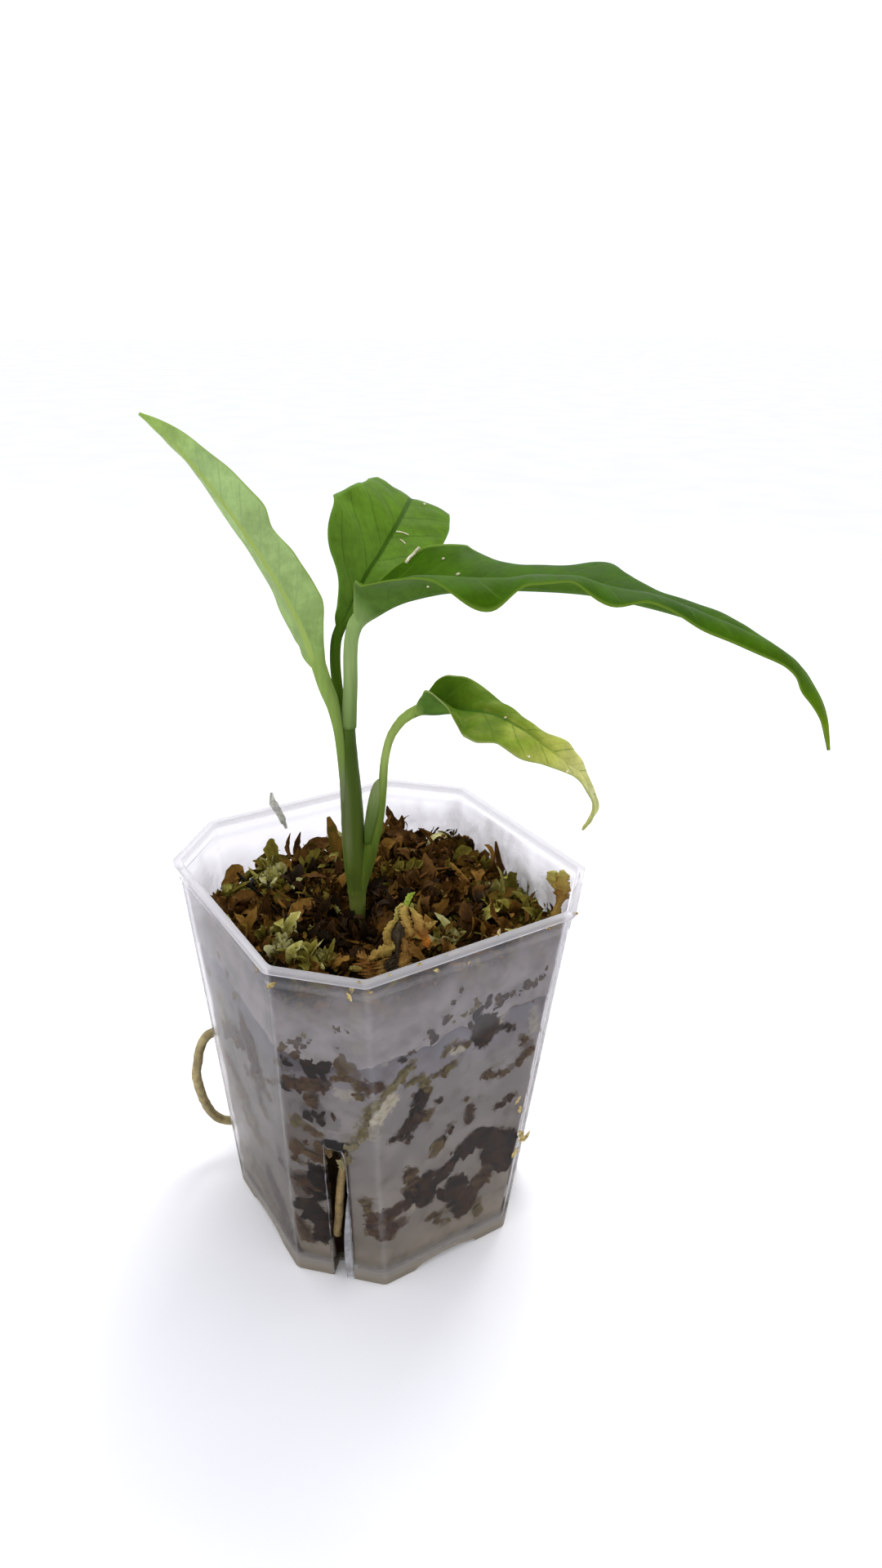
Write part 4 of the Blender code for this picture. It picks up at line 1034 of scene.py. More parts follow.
mossForm = {
    "seed": 5,
    "level": 66.0,
    "mound": 1.6,
    "slope": 0.095,
    "bump": 2.0,
    "hollows": [(-1.5, -15.5, 7.0, 2.6), (5.0, -19.0, 6.0, 2.2), (-4.0, -19.0, 3.5, 1.2), (-4.4, 1.0, 5.0, -0.7)],
    "kept": [(-4.6, 1.5, 0.0), (-4.4, -1.2, 0.0), (-2.5, -15.5, 0.4), (2.0, -17.0, 0.4), (5.0, -18.5, 0.0),
             (-3.4, -18.6, 0.2)],
    "floor": 3.15,
    "sides": 320,
    "levels": 90,
    "rings": 44,
    "strands": 200,
    "shreds": 620,
    "crumbs": 700,
    "heads": 8,
    "tones": [(0.0, (12, 8, 3)), (0.16, (34, 22, 9)), (0.32, (66, 42, 17)), (0.46, (98, 66, 25)),
              (0.58, (132, 97, 40)), (0.68, (86, 77, 26)), (0.8, (124, 114, 42)), (0.9, (156, 150, 78)),
              (1.0, (196, 192, 140))],
    "hazes": [(0.0, (164, 155, 138)), (0.12, (146, 138, 126)), (0.5, (149, 144, 139)), (0.8, (152, 148, 146)),
              (0.93, (144, 141, 147)), (1.0, (120, 116, 122))],
    "clumps": [(0.0, (16, 11, 8)), (0.15, (38, 26, 18)), (0.3, (74, 50, 32)), (0.45, (98, 80, 52)),
               (0.6, (108, 98, 60)), (0.75, (134, 126, 92)), (1.0, (196, 190, 168))],
    "torn": ((0.7, 1.3), (2.0, 1.6)),
    "murk": (96, 84, 72),
    "dimSide": (-0.0275, -0.0235),
}


def mossHeight(x, y):
    edge = min(1.0, math.hypot(x, y) / 33)
    away = -x * math.sin(plantTurn) + y * math.cos(plantTurn)
    bump = noise.noise(Vector((x * 0.17, y * 0.17, 3.0)))
    bump += 0.5 * noise.noise(Vector((x * 0.41, y * 0.41, 8.0)))
    side = x * math.cos(plantTurn) + y * math.sin(plantTurn)
    high = mossForm["level"] + mossForm["mound"] * (1 - edge ** 2) + mossForm["slope"] * away + mossForm["bump"] * bump
    for spotSide, spotAway, reach, deep in mossForm["hollows"]:
        high -= deep * math.exp(-((side - spotSide) ** 2 + (away - spotAway) ** 2) / reach ** 2)
    return high


def onMoss(px, py, lift=0.0):
    # the point seen at a pixel, that high above the filling
    eye, ray = sightLine(px, py)
    t = (mossForm["level"] - eye[2]) / ray[2]
    for _ in range(30):
        p = eye + t * ray
        t += (mossHeight(p[0], p[1]) + lift - p[2]) / ray[2] * 0.6
    p = eye + t * ray
    share = (float(innerReach(*p)) - 2.0) / math.hypot(p[0], p[1])
    if share < 1:
        p[:2] *= share
        p[2] = mossHeight(p[0], p[1]) + lift
    return p


def mossFinish(name, ramp="tones"):
    paint = Shading(name)
    tone = paint.attribute("tone")
    speckle = paint.math("MULTIPLY", paint.math("SUBTRACT", paint.noise(0.9, 3, roughness=0.7), 0.5), 0.3)
    colour = paint.ramp(paint.math("ADD", tone, speckle), mossForm[ramp])
    relief = paint.bump(paint.noise(0.4, 3), 0.4, 0.12)
    return paint.finish(Base_Color=colour, Roughness=0.7, Normal=relief, Specular_IOR_Level=0.06)


def bodyFinish():
    # the loose filling on top, fog below it where the wall is misted, and the clumps pressed against the wall
    paint = Shading("mossBodyFinish")
    speckle = paint.math("MULTIPLY", paint.math("SUBTRACT", paint.noise(0.9, 3, roughness=0.7), 0.5), 0.3)
    loose = paint.ramp(paint.math("ADD", paint.attribute("tone"), speckle), mossForm["tones"])
    fog = paint.ramp(paint.attribute("level"), mossForm["hazes"])
    cloud = paint.span(paint.noise(8, 3, shift=3.0), 0.3, 0.7, 0.84, 1.1)
    fog = paint.node("ShaderNodeVectorMath", {"operation": "SCALE"}, i0=fog, Scale=cloud).outputs[0]
    mottle = paint.math("MULTIPLY", paint.math("SUBTRACT", paint.noise(1.5, 5, roughness=0.72, shift=5.0), 0.5), 0.9)
    murk = paint.span(paint.noise(3.5, 5, roughness=0.68, shift=9.0), 0.48, 0.72, 0.0, 0.42)
    fog = paint.mix(murk, fog, linear(*mossForm["murk"]))
    # the wall facing -X mirrors more of the bright floor, so what lies behind it is darker
    across = paint.node("ShaderNodeSeparateXYZ", Vector=paint.node("ShaderNodeTexCoord").outputs["Object"])
    shade = paint.span(across.outputs[0], *mossForm["dimSide"], 0.76, 1.0)
    fog = paint.node("ShaderNodeVectorMath", {"operation": "SCALE"}, i0=fog, Scale=shade).outputs[0]
    near = paint.attribute("clump")
    for size, share in mossForm["torn"]:
        tear = paint.math("SUBTRACT", paint.noise(size, 4, roughness=0.65, shift=size), 0.5)
        near = paint.math("ADD", near, paint.math("MULTIPLY", tear, share))
    torn = paint.math("MULTIPLY", paint.span(near, 0.4, 0.74), paint.attribute("clumpFull"))
    paler = paint.math("ADD", mottle, paint.span(near, 0.85, 0.45, 0.0, 0.22))
    clump = paint.ramp(paint.math("ADD", paint.attribute("clumpTone"), paler), mossForm["clumps"])
    misted = paint.mix(torn, fog, clump)
    colour = paint.mix(paint.attribute("haze"), loose, misted)
    return paint.finish(Base_Color=colour, Roughness=0.8, Specular_IOR_Level=0.03)


def clumpShares(points):
    # how near each point of the body is to a clump (0.5 at its edge), with the clump's tone and fullness
    p = np.asarray(points, float)
    share = np.zeros(len(p))
    tone = np.full(len(p), 0.3)
    filled = np.zeros(len(p))
    for start, end, out, width, colour, full in wallStrokes:
        run = end - start
        t = np.clip((p - start) @ run / max(run @ run, 1e-6), 0, 1)
        apart = p - start - t[:, None] * run
        depth = apart @ out
        gap = np.linalg.norm(apart - depth[:, None] * out, axis=1) + np.where(np.abs(depth) > 5, 99, 0)
        inside = np.clip(0.5 + (width / 2 + 0.15 - gap) / 2.4, 0, 1)
        tone = np.where(inside > share, colour, tone)
        filled = np.where(inside > share, min(1.0, full), filled)
        share = np.maximum(share, inside)
    return share, tone, filled


def mossBody():
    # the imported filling, almost as wide as the inside of the wall
    sides, levels, rings = mossForm["sides"], mossForm["levels"], mossForm["rings"]
    vertices = []
    haze = []
    level = []
    for i in range(levels + 1):
        for k in range(sides):
            angle = 2 * math.pi * k / sides
            ray = (math.cos(angle), math.sin(angle))
            rim = float(innerReach(*ray, mossForm["level"])) - 1.6
            top = mossHeight(rim * ray[0], rim * ray[1]) - 1.6
            z = mossForm["floor"] + (top - mossForm["floor"]) * i / levels
            at = Vector((ray[0] * 30, ray[1] * 30, z))
            relief = 0.2 * max(0.0, noise.noise(at * 0.16) * 1.4 + 0.3)
            fromCorner = abs((math.degrees(angle) % 90) - 45)
            inSlot = max(0.0, 1 - fromCorner / 4.5) * (z < potForm["slotTop"] + 1)
            reach = float(innerReach(*ray, z)) - 0.6 - relief - 2.2 * min(1, inSlot * 2)
            reach -= 1.2 * max(0.0, (i / levels - 0.97) / 0.03) ** 2
            vertices.append((reach * ray[0], reach * ray[1], z))
            haze.append(0.0 if inSlot > 0 else 1.0)
            level.append(i / levels)
    for i in range(1, rings):
        for k in range(sides):
            base = vertices[levels * sides + k]
            x = base[0] * (1 - i / rings)
            y = base[1] * (1 - i / rings)
            fine = 1.3 * noise.noise(Vector((x * 0.6, y * 0.6, 1.0)))
            vertices.append((x, y, mossHeight(x, y) - 1.6 + fine * min(1, i / 3)))
            haze.append(1.0 if i == 1 else 0.0)
            level.append(1.0)
    vertices.append((0.0, 0.0, mossHeight(0, 0) - 1.6))
    haze.append(0.0)
    level.append(1.0)
    faces = []
    for i in range(levels + rings - 1):
        for k in range(sides):
            j = (k + 1) % sides
            faces.append((i * sides + k, i * sides + j, (i + 1) * sides + j, (i + 1) * sides + k))
    last = (levels + rings - 1) * sides
    faces += [(last + k, last + (k + 1) % sides, len(vertices) - 1) for k in range(sides)]
    faces.append(tuple(range(sides))[::-1])
    piece = meshPiece("mossBody", vertices, faces, True, "moss")
    tones = [0.04 + 0.2 * max(0.0, noise.noise(Vector(v) * 0.22) + 0.3) for v in vertices]
    share, clumpTone, filled = clumpShares(vertices)
    for key, values in (("tone", tones), ("haze", haze), ("level", level), ("clump", share),
                        ("clumpTone", clumpTone), ("clumpFull", filled)):
        setAttribute(piece, key, "FLOAT", values)
    dress(piece, bodyFinish())


class Leaflets:
    # many small cupped leaflets, worked out together
    def __init__(self, rows=4, columns=2):
        self.rows = rows
        self.columns = columns
        self.items = []

    def add(self, base, along, normal, length, width, cup, curl, tone, seed):
        self.items.append((*base, *along, *normal, length, width, cup, curl, tone, seed))

    def build(self, name, material, gap=0.12):
        data = np.array(self.items, float)
        base, along, normal = data[:, 0:3], unit(data[:, 3:6]), data[:, 6:9]
        length, width, cup, curl, tone, seed = data[:, 9:].T
        normal = unit(normal - (normal * along).sum(1)[:, None] * along)
        side = np.cross(along, normal)
        u = np.linspace(0, 1, self.rows + 1)
        w = np.linspace(-1, 1, self.columns + 1)
        outline = np.sin(np.pi * np.clip(u * 0.92 + 0.06, 0, 1)) ** 0.8
        ragged = (np.sin(seed[:, None, None] * 9.1 + u[None, :, None] * 7.3 + w[None, None] * 2.1) * 0.22
                  + np.sin(seed[:, None, None] * 5.7 + u[None, :, None] * 21.0 - w[None, None] * 3.0) * 0.16)
        half = width[:, None] / 2 * outline[None]
        bend = curl[:, None] * u[None]
        forward = length[:, None] * np.sin(bend + 1e-6) / (curl[:, None] + 1e-6)
        rise = length[:, None] * (1 - np.cos(bend)) / (curl[:, None] + 1e-6)
        spineLine = base[:, None] + along[:, None] * forward[..., None] + normal[:, None] * rise[..., None]
        crumple = np.sin(seed[:, None, None] * 3.3 + u[None, :, None] * 11 + w[None, None] * 4.1) * 0.16
        lateral = half[..., None] * w[None, None] * (1 + ragged)
        lift = (cup[:, None, None] * (w[None, None] ** 2) + crumple) * half[..., None]
        points = (spineLine[:, :, None] + side[:, None, None] * lateral[..., None]
                  + normal[:, None, None] * lift[..., None])
        count = (self.rows + 1) * (self.columns + 1)
        vertices = keepInside(points.reshape(-1, 3), gap)
        grid = []
        for i in range(self.rows):
            for j in range(self.columns):
                a = i * (self.columns + 1) + j
                grid.append((a, a + 1, a + self.columns + 2, a + self.columns + 1))
        offsets = np.arange(len(data)) * count
        faces = (np.array(grid)[None] + offsets[:, None, None]).reshape(-1, 4).tolist()
        piece = meshPiece(name, vertices, faces)
        shade = tone[:, None, None] + 0.1 * (u[None, :, None] - 0.4) + 0.08 * np.abs(w)[None, None]
        setAttribute(piece, "tone", "FLOAT", np.clip(shade, 0, 1))
        dress(piece, material)
        print(name, "has", len(data), "leaflets")
        return piece


def inPot(draw, gap=1.5):
    # a random point of the filling's top
    angle = draw.uniform(0, 2 * math.pi)
    reach = (float(innerReach(math.cos(angle), math.sin(angle), mossForm["level"])) - gap)
    reach *= math.sqrt(draw.uniform(0, 1))
    return reach * math.cos(angle), reach * math.sin(angle)


def clearOfStem(x, y, gap):
    # away from the stem, from the ground in front of it and from the front sprig
    for side, away, extra in mossForm["kept"]:
        spotX, spotY = turned([(side, away, 0)])[0][:2]
        if math.hypot(x - spotX, y - spotY) < gap + extra:
            return False
    return True


def strandPath(draw, x, y, length, lift, steps):
    # a curly line that creeps over the moss
    heading = draw.uniform(0, 2 * math.pi)
    turn = draw.uniform(-0.4, 0.4)
    points = []
    for k in range(steps):
        limit = float(innerReach(x, y, mossForm["level"])) - 1.2
        if math.hypot(x, y) > limit:
            scale = limit / math.hypot(x, y)
            x *= scale
            y *= scale
            heading += 0.7
        points.append((x, y, mossHeight(x, y) + lift + 0.9 * math.sin(k * 0.9 + turn * 9)))
        x += math.cos(heading) * length / steps
        y += math.sin(heading) * length / steps
        heading += turn + draw.uniform(-0.25, 0.25)
    return points


def leafyStrand(store, draw, path, size, tone, spread=1.0):
    # leaflets set spirally round a path
    run = sum(math.dist(a, b) for a, b in zip(path, path[1:]))
    line = smoothLine(path, max(5, int(run / size * 2.4)))
    along = unit(np.gradient(line, axis=0))
    spin = draw.uniform(0, 6.28)
    for i in range(len(line)):
        for _ in range(2):
            spin += 2.2
            guide = Vector((0.3, 0.2, 1.0)) if abs(along[i][2]) < 0.9 else Vector((1.0, 0.2, 0.1))
            across = Vector(along[i]).cross(guide).normalized()
            other = Vector(along[i]).cross(across)
            out = across * math.cos(spin) + other * math.sin(spin)
            heading = Vector(along[i]) * draw.uniform(0.4, 1.0) + out * spread * draw.uniform(0.3, 0.9)
            base = Vector(line[i]) + out * size * 0.08
            store.add(base, heading, out, size * draw.uniform(0.8, 1.4), size * draw.uniform(0.4, 0.7),
                      draw.uniform(0.2, 0.8), draw.uniform(-0.4, 1.1), tone + draw.uniform(-0.07, 0.1),
                      draw.uniform(0, 10))


def mossHead(store, draw, centre, size, tone):
    # a small dense rosette
    for i in range(40):
        high = 1 - 1.25 * i / 40
        ring = math.sqrt(max(0.0, 1 - high * high))
        spin = i * 2.4
        out = Vector((math.cos(spin) * ring, math.sin(spin) * ring, high))
        heading = out + Vector((draw.uniform(-0.4, 0.4), draw.uniform(-0.4, 0.4), 0.3))
        store.add(Vector(centre) + out * size * 0.45, heading, Vector((-out.x, -out.y, 1.2)),
                  size * draw.uniform(0.6, 1.0), size * draw.uniform(0.35, 0.5), 0.6, draw.uniform(0.4, 1.3),
                  tone + draw.uniform(-0.1, 0.08), draw.uniform(0, 10))


def patchTone(x, y, size, seed):
    # neighbouring bits are alike: dark, brown, ochre or green patches, some of them where the photo has them
    tone = 0.5 + 0.75 * noise.noise(Vector((x / size, y / size, seed)))
    total = 0.0
    mixed = 0.0
    for place, reach, colour in patchSpots:
        near = math.exp(-((x - place[0]) ** 2 + (y - place[1]) ** 2) / reach ** 2)
        total += near
        mixed += near * colour
    share = min(1.0, total)
    return tone * (1 - 0.85 * share) + 0.85 * share * (mixed / max(total, 1e-6))


def mossTop(material):
    draw = random.Random(mossForm["seed"])
    fine = Leaflets(4, 2)
    coarse = Leaflets(9, 4)
    for _ in range(mossForm["strands"]):
        x, y = inPot(draw)
        if not clearOfStem(x, y, 3.4):
            continue
        tone = 0.02 + 0.9 * patchTone(x, y, 11, 20.0) + draw.uniform(-0.12, 0.14)
        path = strandPath(draw, x, y, draw.uniform(8, 17), draw.uniform(-0.6, 1.2), 8)
        path = [p for p in path if clearOfStem(p[0], p[1], 3.0)]
        if len(path) > 3:
            leafyStrand(fine, draw, path, draw.uniform(1.4, 2.8), tone)
    for _ in range(mossForm["shreds"]):
        x, y = inPot(draw)
        if not clearOfStem(x, y, 3.2):
            continue
        heading = Vector((draw.uniform(-1, 1), draw.uniform(-1, 1), draw.uniform(-0.2, 0.8)))
        normal = Vector((draw.uniform(-0.9, 0.9), draw.uniform(-0.9, 0.9), 1))
        lift = draw.uniform(-1.8, 0.9) + 1.3 * noise.noise(Vector((x * 0.3, y * 0.3, 50.0)))
        tone = 0.02 + 0.85 * patchTone(x, y, 8, 31.0) + draw.uniform(-0.14, 0.14)
        coarse.add((x, y, mossHeight(x, y) + lift), heading, normal, draw.uniform(3.0, 9.5),
                   draw.uniform(0.9, 3.6), draw.uniform(-1.0, 1.2), draw.uniform(-2.6, 3.0), tone,
                   draw.uniform(0, 10))
    for _ in range(mossForm["crumbs"]):
        x, y = inPot(draw)
        if clearOfStem(x, y, 3.0):
            heading = Vector((draw.uniform(-1, 1), draw.uniform(-1, 1), draw.uniform(-0.2, 0.9)))
            fine.add((x, y, mossHeight(x, y) + draw.uniform(-1.2, 0.6)), heading, Vector((0.2, 0.1, 1)),
                     draw.uniform(1.2, 2.6), draw.uniform(0.8, 1.6), draw.uniform(-0.3, 0.7),
                     draw.uniform(-0.9, 1.2), 0.9 * patchTone(x, y, 8, 31.0) + draw.uniform(-0.2, 0.15),
                     draw.uniform(0, 10))
    for _ in range(mossForm["heads"]):
        x, y = inPot(draw, 3.0)
        if clearOfStem(x, y, 5.5):
            mossHead(fine, draw, (x, y, mossHeight(x, y) + 0.2), draw.uniform(1.4, 2.4), draw.uniform(0.72, 0.9))
    for px, py, lift, size, tone in mossMarks["heads"]:
        mossHead(fine, draw, onMoss(px, py, lift), size, tone)
    for place, reach, tone in patchSpots:
        for _ in range(int(4 + reach * reach * 1.1)):
            x = place[0] + draw.gauss(0, reach * 0.42)
            y = place[1] + draw.gauss(0, reach * 0.42)
            if math.hypot(x, y) > float(innerReach(x, y, place[2])) - 1.8 or not clearOfStem(x, y, 3.2):
                continue
            heading = Vector((draw.uniform(-1, 1), draw.uniform(-1, 1), draw.uniform(-0.1, 0.9)))
            normal = Vector((draw.uniform(-0.8, 0.8), draw.uniform(-0.8, 0.8), 1))
            coarse.add((x, y, mossHeight(x, y) + draw.uniform(-0.6, 1.0)), heading, normal, draw.uniform(2.6, 7.0),
                       draw.uniform(1.0, 3.0), draw.uniform(-1.0, 1.2), draw.uniform(-2.2, 2.8),
                       min(1.0, max(0.0, tone + draw.uniform(-0.1, 0.08))), draw.uniform(0, 10))
    fine.build("mossLeaflets", material, 0.75)
    coarse.build("mossShreds", material, 0.75)


# What the photo shows on the moss, by pixel: (x, y, height over the filling) for "lying", (x, y) for "upright",
# (x, y, reach in mm, tone) for "patches"
mossMarks = {
    "patches": [(332, 1084, 5, 0.86), (276, 1094, 4, 0.74), (373, 1112, 4, 0.56), (401, 1030, 4, 0.84),
                (387, 1056, 3, 0.6), (363, 1092, 2.5, 0.06), (342, 1167, 3.5, 0.9), (380, 1181, 4, 0.78),
                (304, 1146, 3, 0.46), (318, 1167, 3, 0.34), (412, 1146, 6, 0.1), (463, 1118, 6, 0.1),
                (500, 1045, 7, 0.3), (477, 1022, 4, 0.36), (519, 1098, 5, 0.28), (560, 1108, 5, 0.36),
                (588, 1125, 4, 0.1), (602, 1063, 5, 0.56), (616, 1139, 3, 0.42), (640, 1122, 4, 0.72),
                (655, 1112, 3, 0.74), (548, 1155, 2.5, 0.9), (440, 1095, 3, 0.14), (550, 1060, 5, 0.28),
                (385, 1130, 4, 0.12), (290, 1120, 3, 0.3), (445, 1150, 5, 0.12), (498, 1130, 4, 0.16),
                (430, 1190, 3, 0.2)],
    "heads": [(338, 1080, 1.0, 3.0, 0.9), (347, 1165, 0.6, 3.0, 0.93), (395, 1178, 0.4, 2.4, 0.84),
              (407, 1120, 0.2, 1.8, 0.82), (304, 1138, 0.6, 1.8, 0.97), (640, 1098, 0.8, 1.8, 0.84)],
    "lying": [
        (((473, 1018, 2.2), (487, 1020, 2.6), (502, 1024, 2.6), (519, 1031, 1.6)), 2.0, 0.3, 0.25),
        (((523, 1037, 0.6), (530, 1026, 2.6), (540, 1022, 3.0), (551, 1031, 0.8)), 1.1, 0.98, 0.3),
        (((353, 1128, 0.8), (368, 1120, 1.6), (386, 1102, 2.2)), 5.0, 0.5, 0.3),
        (((503, 1137, 0.6), (512, 1105, 1.6), (530, 1086, 2.2), (551, 1092, 1.2)), 2.2, 0.5, 0.5),
        (((540, 1124, 0.4), (556, 1104, 1.4), (566, 1084, 0.8)), 2.0, 0.36, 0.5),
        (((596, 1103, 0.8), (612, 1096, 1.8), (637, 1090, 2.2)), 2.4, 0.58, 0.3),
        (((586, 1128, 0.8), (600, 1116, 1.8), (616, 1104, 1.4)), 2.4, 0.84, 0.4),
        (((262, 1083, 0.6), (282, 1070, 1.8), (300, 1074, 2.0)), 4.0, 0.5, 0.4),
        (((330, 1068, 0.8), (343, 1053, 1.8), (357, 1066, 1.0)), 2.4, 0.55, 0.5),
        (((370, 1060, 0.8), (388, 1037, 3.0), (404, 1030, 3.2)), 4.4, 0.34, 0.4),
        (((450, 1150, 0.4), (475, 1120, 1.8), (497, 1095, 1.4)), 3.4, 0.4, 0.4),
        (((560, 1140, 0.4), (580, 1110, 1.6), (600, 1075, 1.4)), 3.0, 0.22, 0.5),
        (((400, 1165, 0.6), (408, 1176, 1.6), (412, 1190, 1.4)), 2.0, 0.62, 0.4),
        (((280, 1120, 0.6), (296, 1102, 1.6), (318, 1098, 0.8)), 3.2, 0.42, 0.5),
        (((318, 1180, 0.4), (300, 1160, 1.2), (290, 1135, 0.8)), 3.0, 0.45, 0.4),
    ],
    "upright": [
        (((416, 1055), (411, 1035), (406, 1015), (402, 1000)), 2.6, 0.6, 0.3),
        (((424, 1060), (420, 1040), (417, 1024)), 2.2, 0.56, 0.3),
        (((613, 1082), (612, 1062), (609, 1045), (607, 1030)), 1.3, 0.3, 0.3),
        (((380, 1068), (383, 1052), (392, 1040)), 2.6, 0.7, 0.4),
        (((468, 1050), (474, 1036), (484, 1030)), 3.0, 0.52, 0.4),
        (((560, 1060), (566, 1046), (578, 1040)), 3.0, 0.72, 0.4),
        (((585, 1062), (592, 1050), (600, 1046)), 2.4, 0.36, 0.4),
        (((656, 1098), (655, 1086), (651, 1077)), 1.8, 0.72, 0.4),
    ],
    "twigs": [
        (((291, 1069, 3.0), (300, 1079, 3.0), (319, 1096, 2.0)), 0.42, 0.02),
        (((333, 1109, 2.2), (360, 1130, 2.4), (394, 1147, 2.0), (432, 1160, 0.8)), 0.6, 0.1),
        (((352, 1112, 2.4), (376, 1094, 2.6), (398, 1072, 2.0)), 0.45, 0.16),
        (((505, 1080, 2.0), (530, 1066, 2.4), (560, 1062, 1.0)), 0.3, 0.4),
        (((600, 1120, 2.0), (625, 1108, 2.4), (650, 1104, 1.0)), 0.3, 0.1),
        (((395, 1120, 1.6), (420, 1148, 1.8), (455, 1158, 1.0)), 0.3, 0.5),
    ],
}


def ribbon(path, width, cup, tone, seed, rows=14, columns=4, ragged=0.25, facing=None, ends=(0.35, 0.3)):
    # one crumpled strap along a path: vertices, faces and tones
    line = smoothLine(path, rows)
    along = unit(np.gradient(line[:, :3], axis=0))
    face = np.array(facing if facing is not None else (-0.3, -0.45, 0.84), float)
    normal = unit(face[None] - (along @ face)[:, None] * along)
    side = np.cross(along, normal)
    vertices = []
    tones = []
    for i in range(rows):
        u = i / (rows - 1)
        shape = min(1.0, ends[0] + u * 3.2, ends[1] + (1 - u) * 2.6)
        for j in range(columns + 1):
            w = 2 * j / columns - 1
            tear = ragged * noise.noise(Vector((u * 6 + seed * 3.1, w * 1.6, seed)))
            tear += ragged * 0.7 * noise.noise(Vector((u * 17 + seed, w * 3.0, seed * 2.3)))
            half = width / 2 * shape * (1 + tear)
            lift = half * (cup * w * w + 0.25 * noise.noise(Vector((u * 7 + seed, w * 2.2, 9.0))))
            vertices.append(tuple(line[i, :3] + side[i] * half * w + normal[i] * lift))
            tones.append(tone + 0.12 * noise.noise(Vector((u * 5, w * 2, seed))) + 0.05 * abs(w))
    faces = []
    for i in range(rows - 1):
        for j in range(columns):
            a = i * (columns + 1) + j
            faces.append((a, a + 1, a + columns + 2, a + columns + 1))
    return vertices, faces, tones


def mossDetails(material):
    bits = Gather()
    seed = 1.0
    for path, width, tone, cup in mossMarks["lying"]:
        seed += 1.7
        bits.add(*ribbon([onMoss(*p) for p in path], width, cup, tone, seed))
    for path, width, tone, cup in mossMarks["upright"]:
        seed += 1.7
        foot = onMoss(*path[0], 0.0)
        away = turned([(0, 1, 0)])[0] @ foot
        bits.add(*ribbon([plantSpot(*p, away) for p in path], width, cup, tone, seed))
    bits.vertices = keepInside(bits.vertices, 0.75).tolist()
    piece = bits.piece("mossStraps", "moss")
    dress(piece, material)
    threads = Gather()
    for path, radius, tone in mossMarks["twigs"]:
        line = [(*onMoss(*p), radius * (0.7 if i in (0, len(path) - 1) else 1)) for i, p in enumerate(path)]
        vertices, faces = tubeShape(line, 40, 8, 1.0, 0.3, radius * 9)
        threads.add(vertices, faces, tone)
    draw = random.Random(mossForm["seed"] + 3)
    for _ in range(34):
        x, y = inPot(draw)
        if clearOfStem(x, y, 4):
            radius = draw.uniform(0.08, 0.2)
            path = [(*p, radius) for p in strandPath(draw, x, y, draw.uniform(6, 15), draw.uniform(0.4, 1.6), 7)]
            vertices, faces = tubeShape(path, 26, 5, 1.0, 0.3, x)
            threads.add(vertices, faces, draw.choice((0.04, 0.12, 0.36, 0.5, 0.86)))
    threads.vertices = keepInside(threads.vertices, 0.75).tolist()
    dress(threads.piece("mossThreads", "moss"), material)


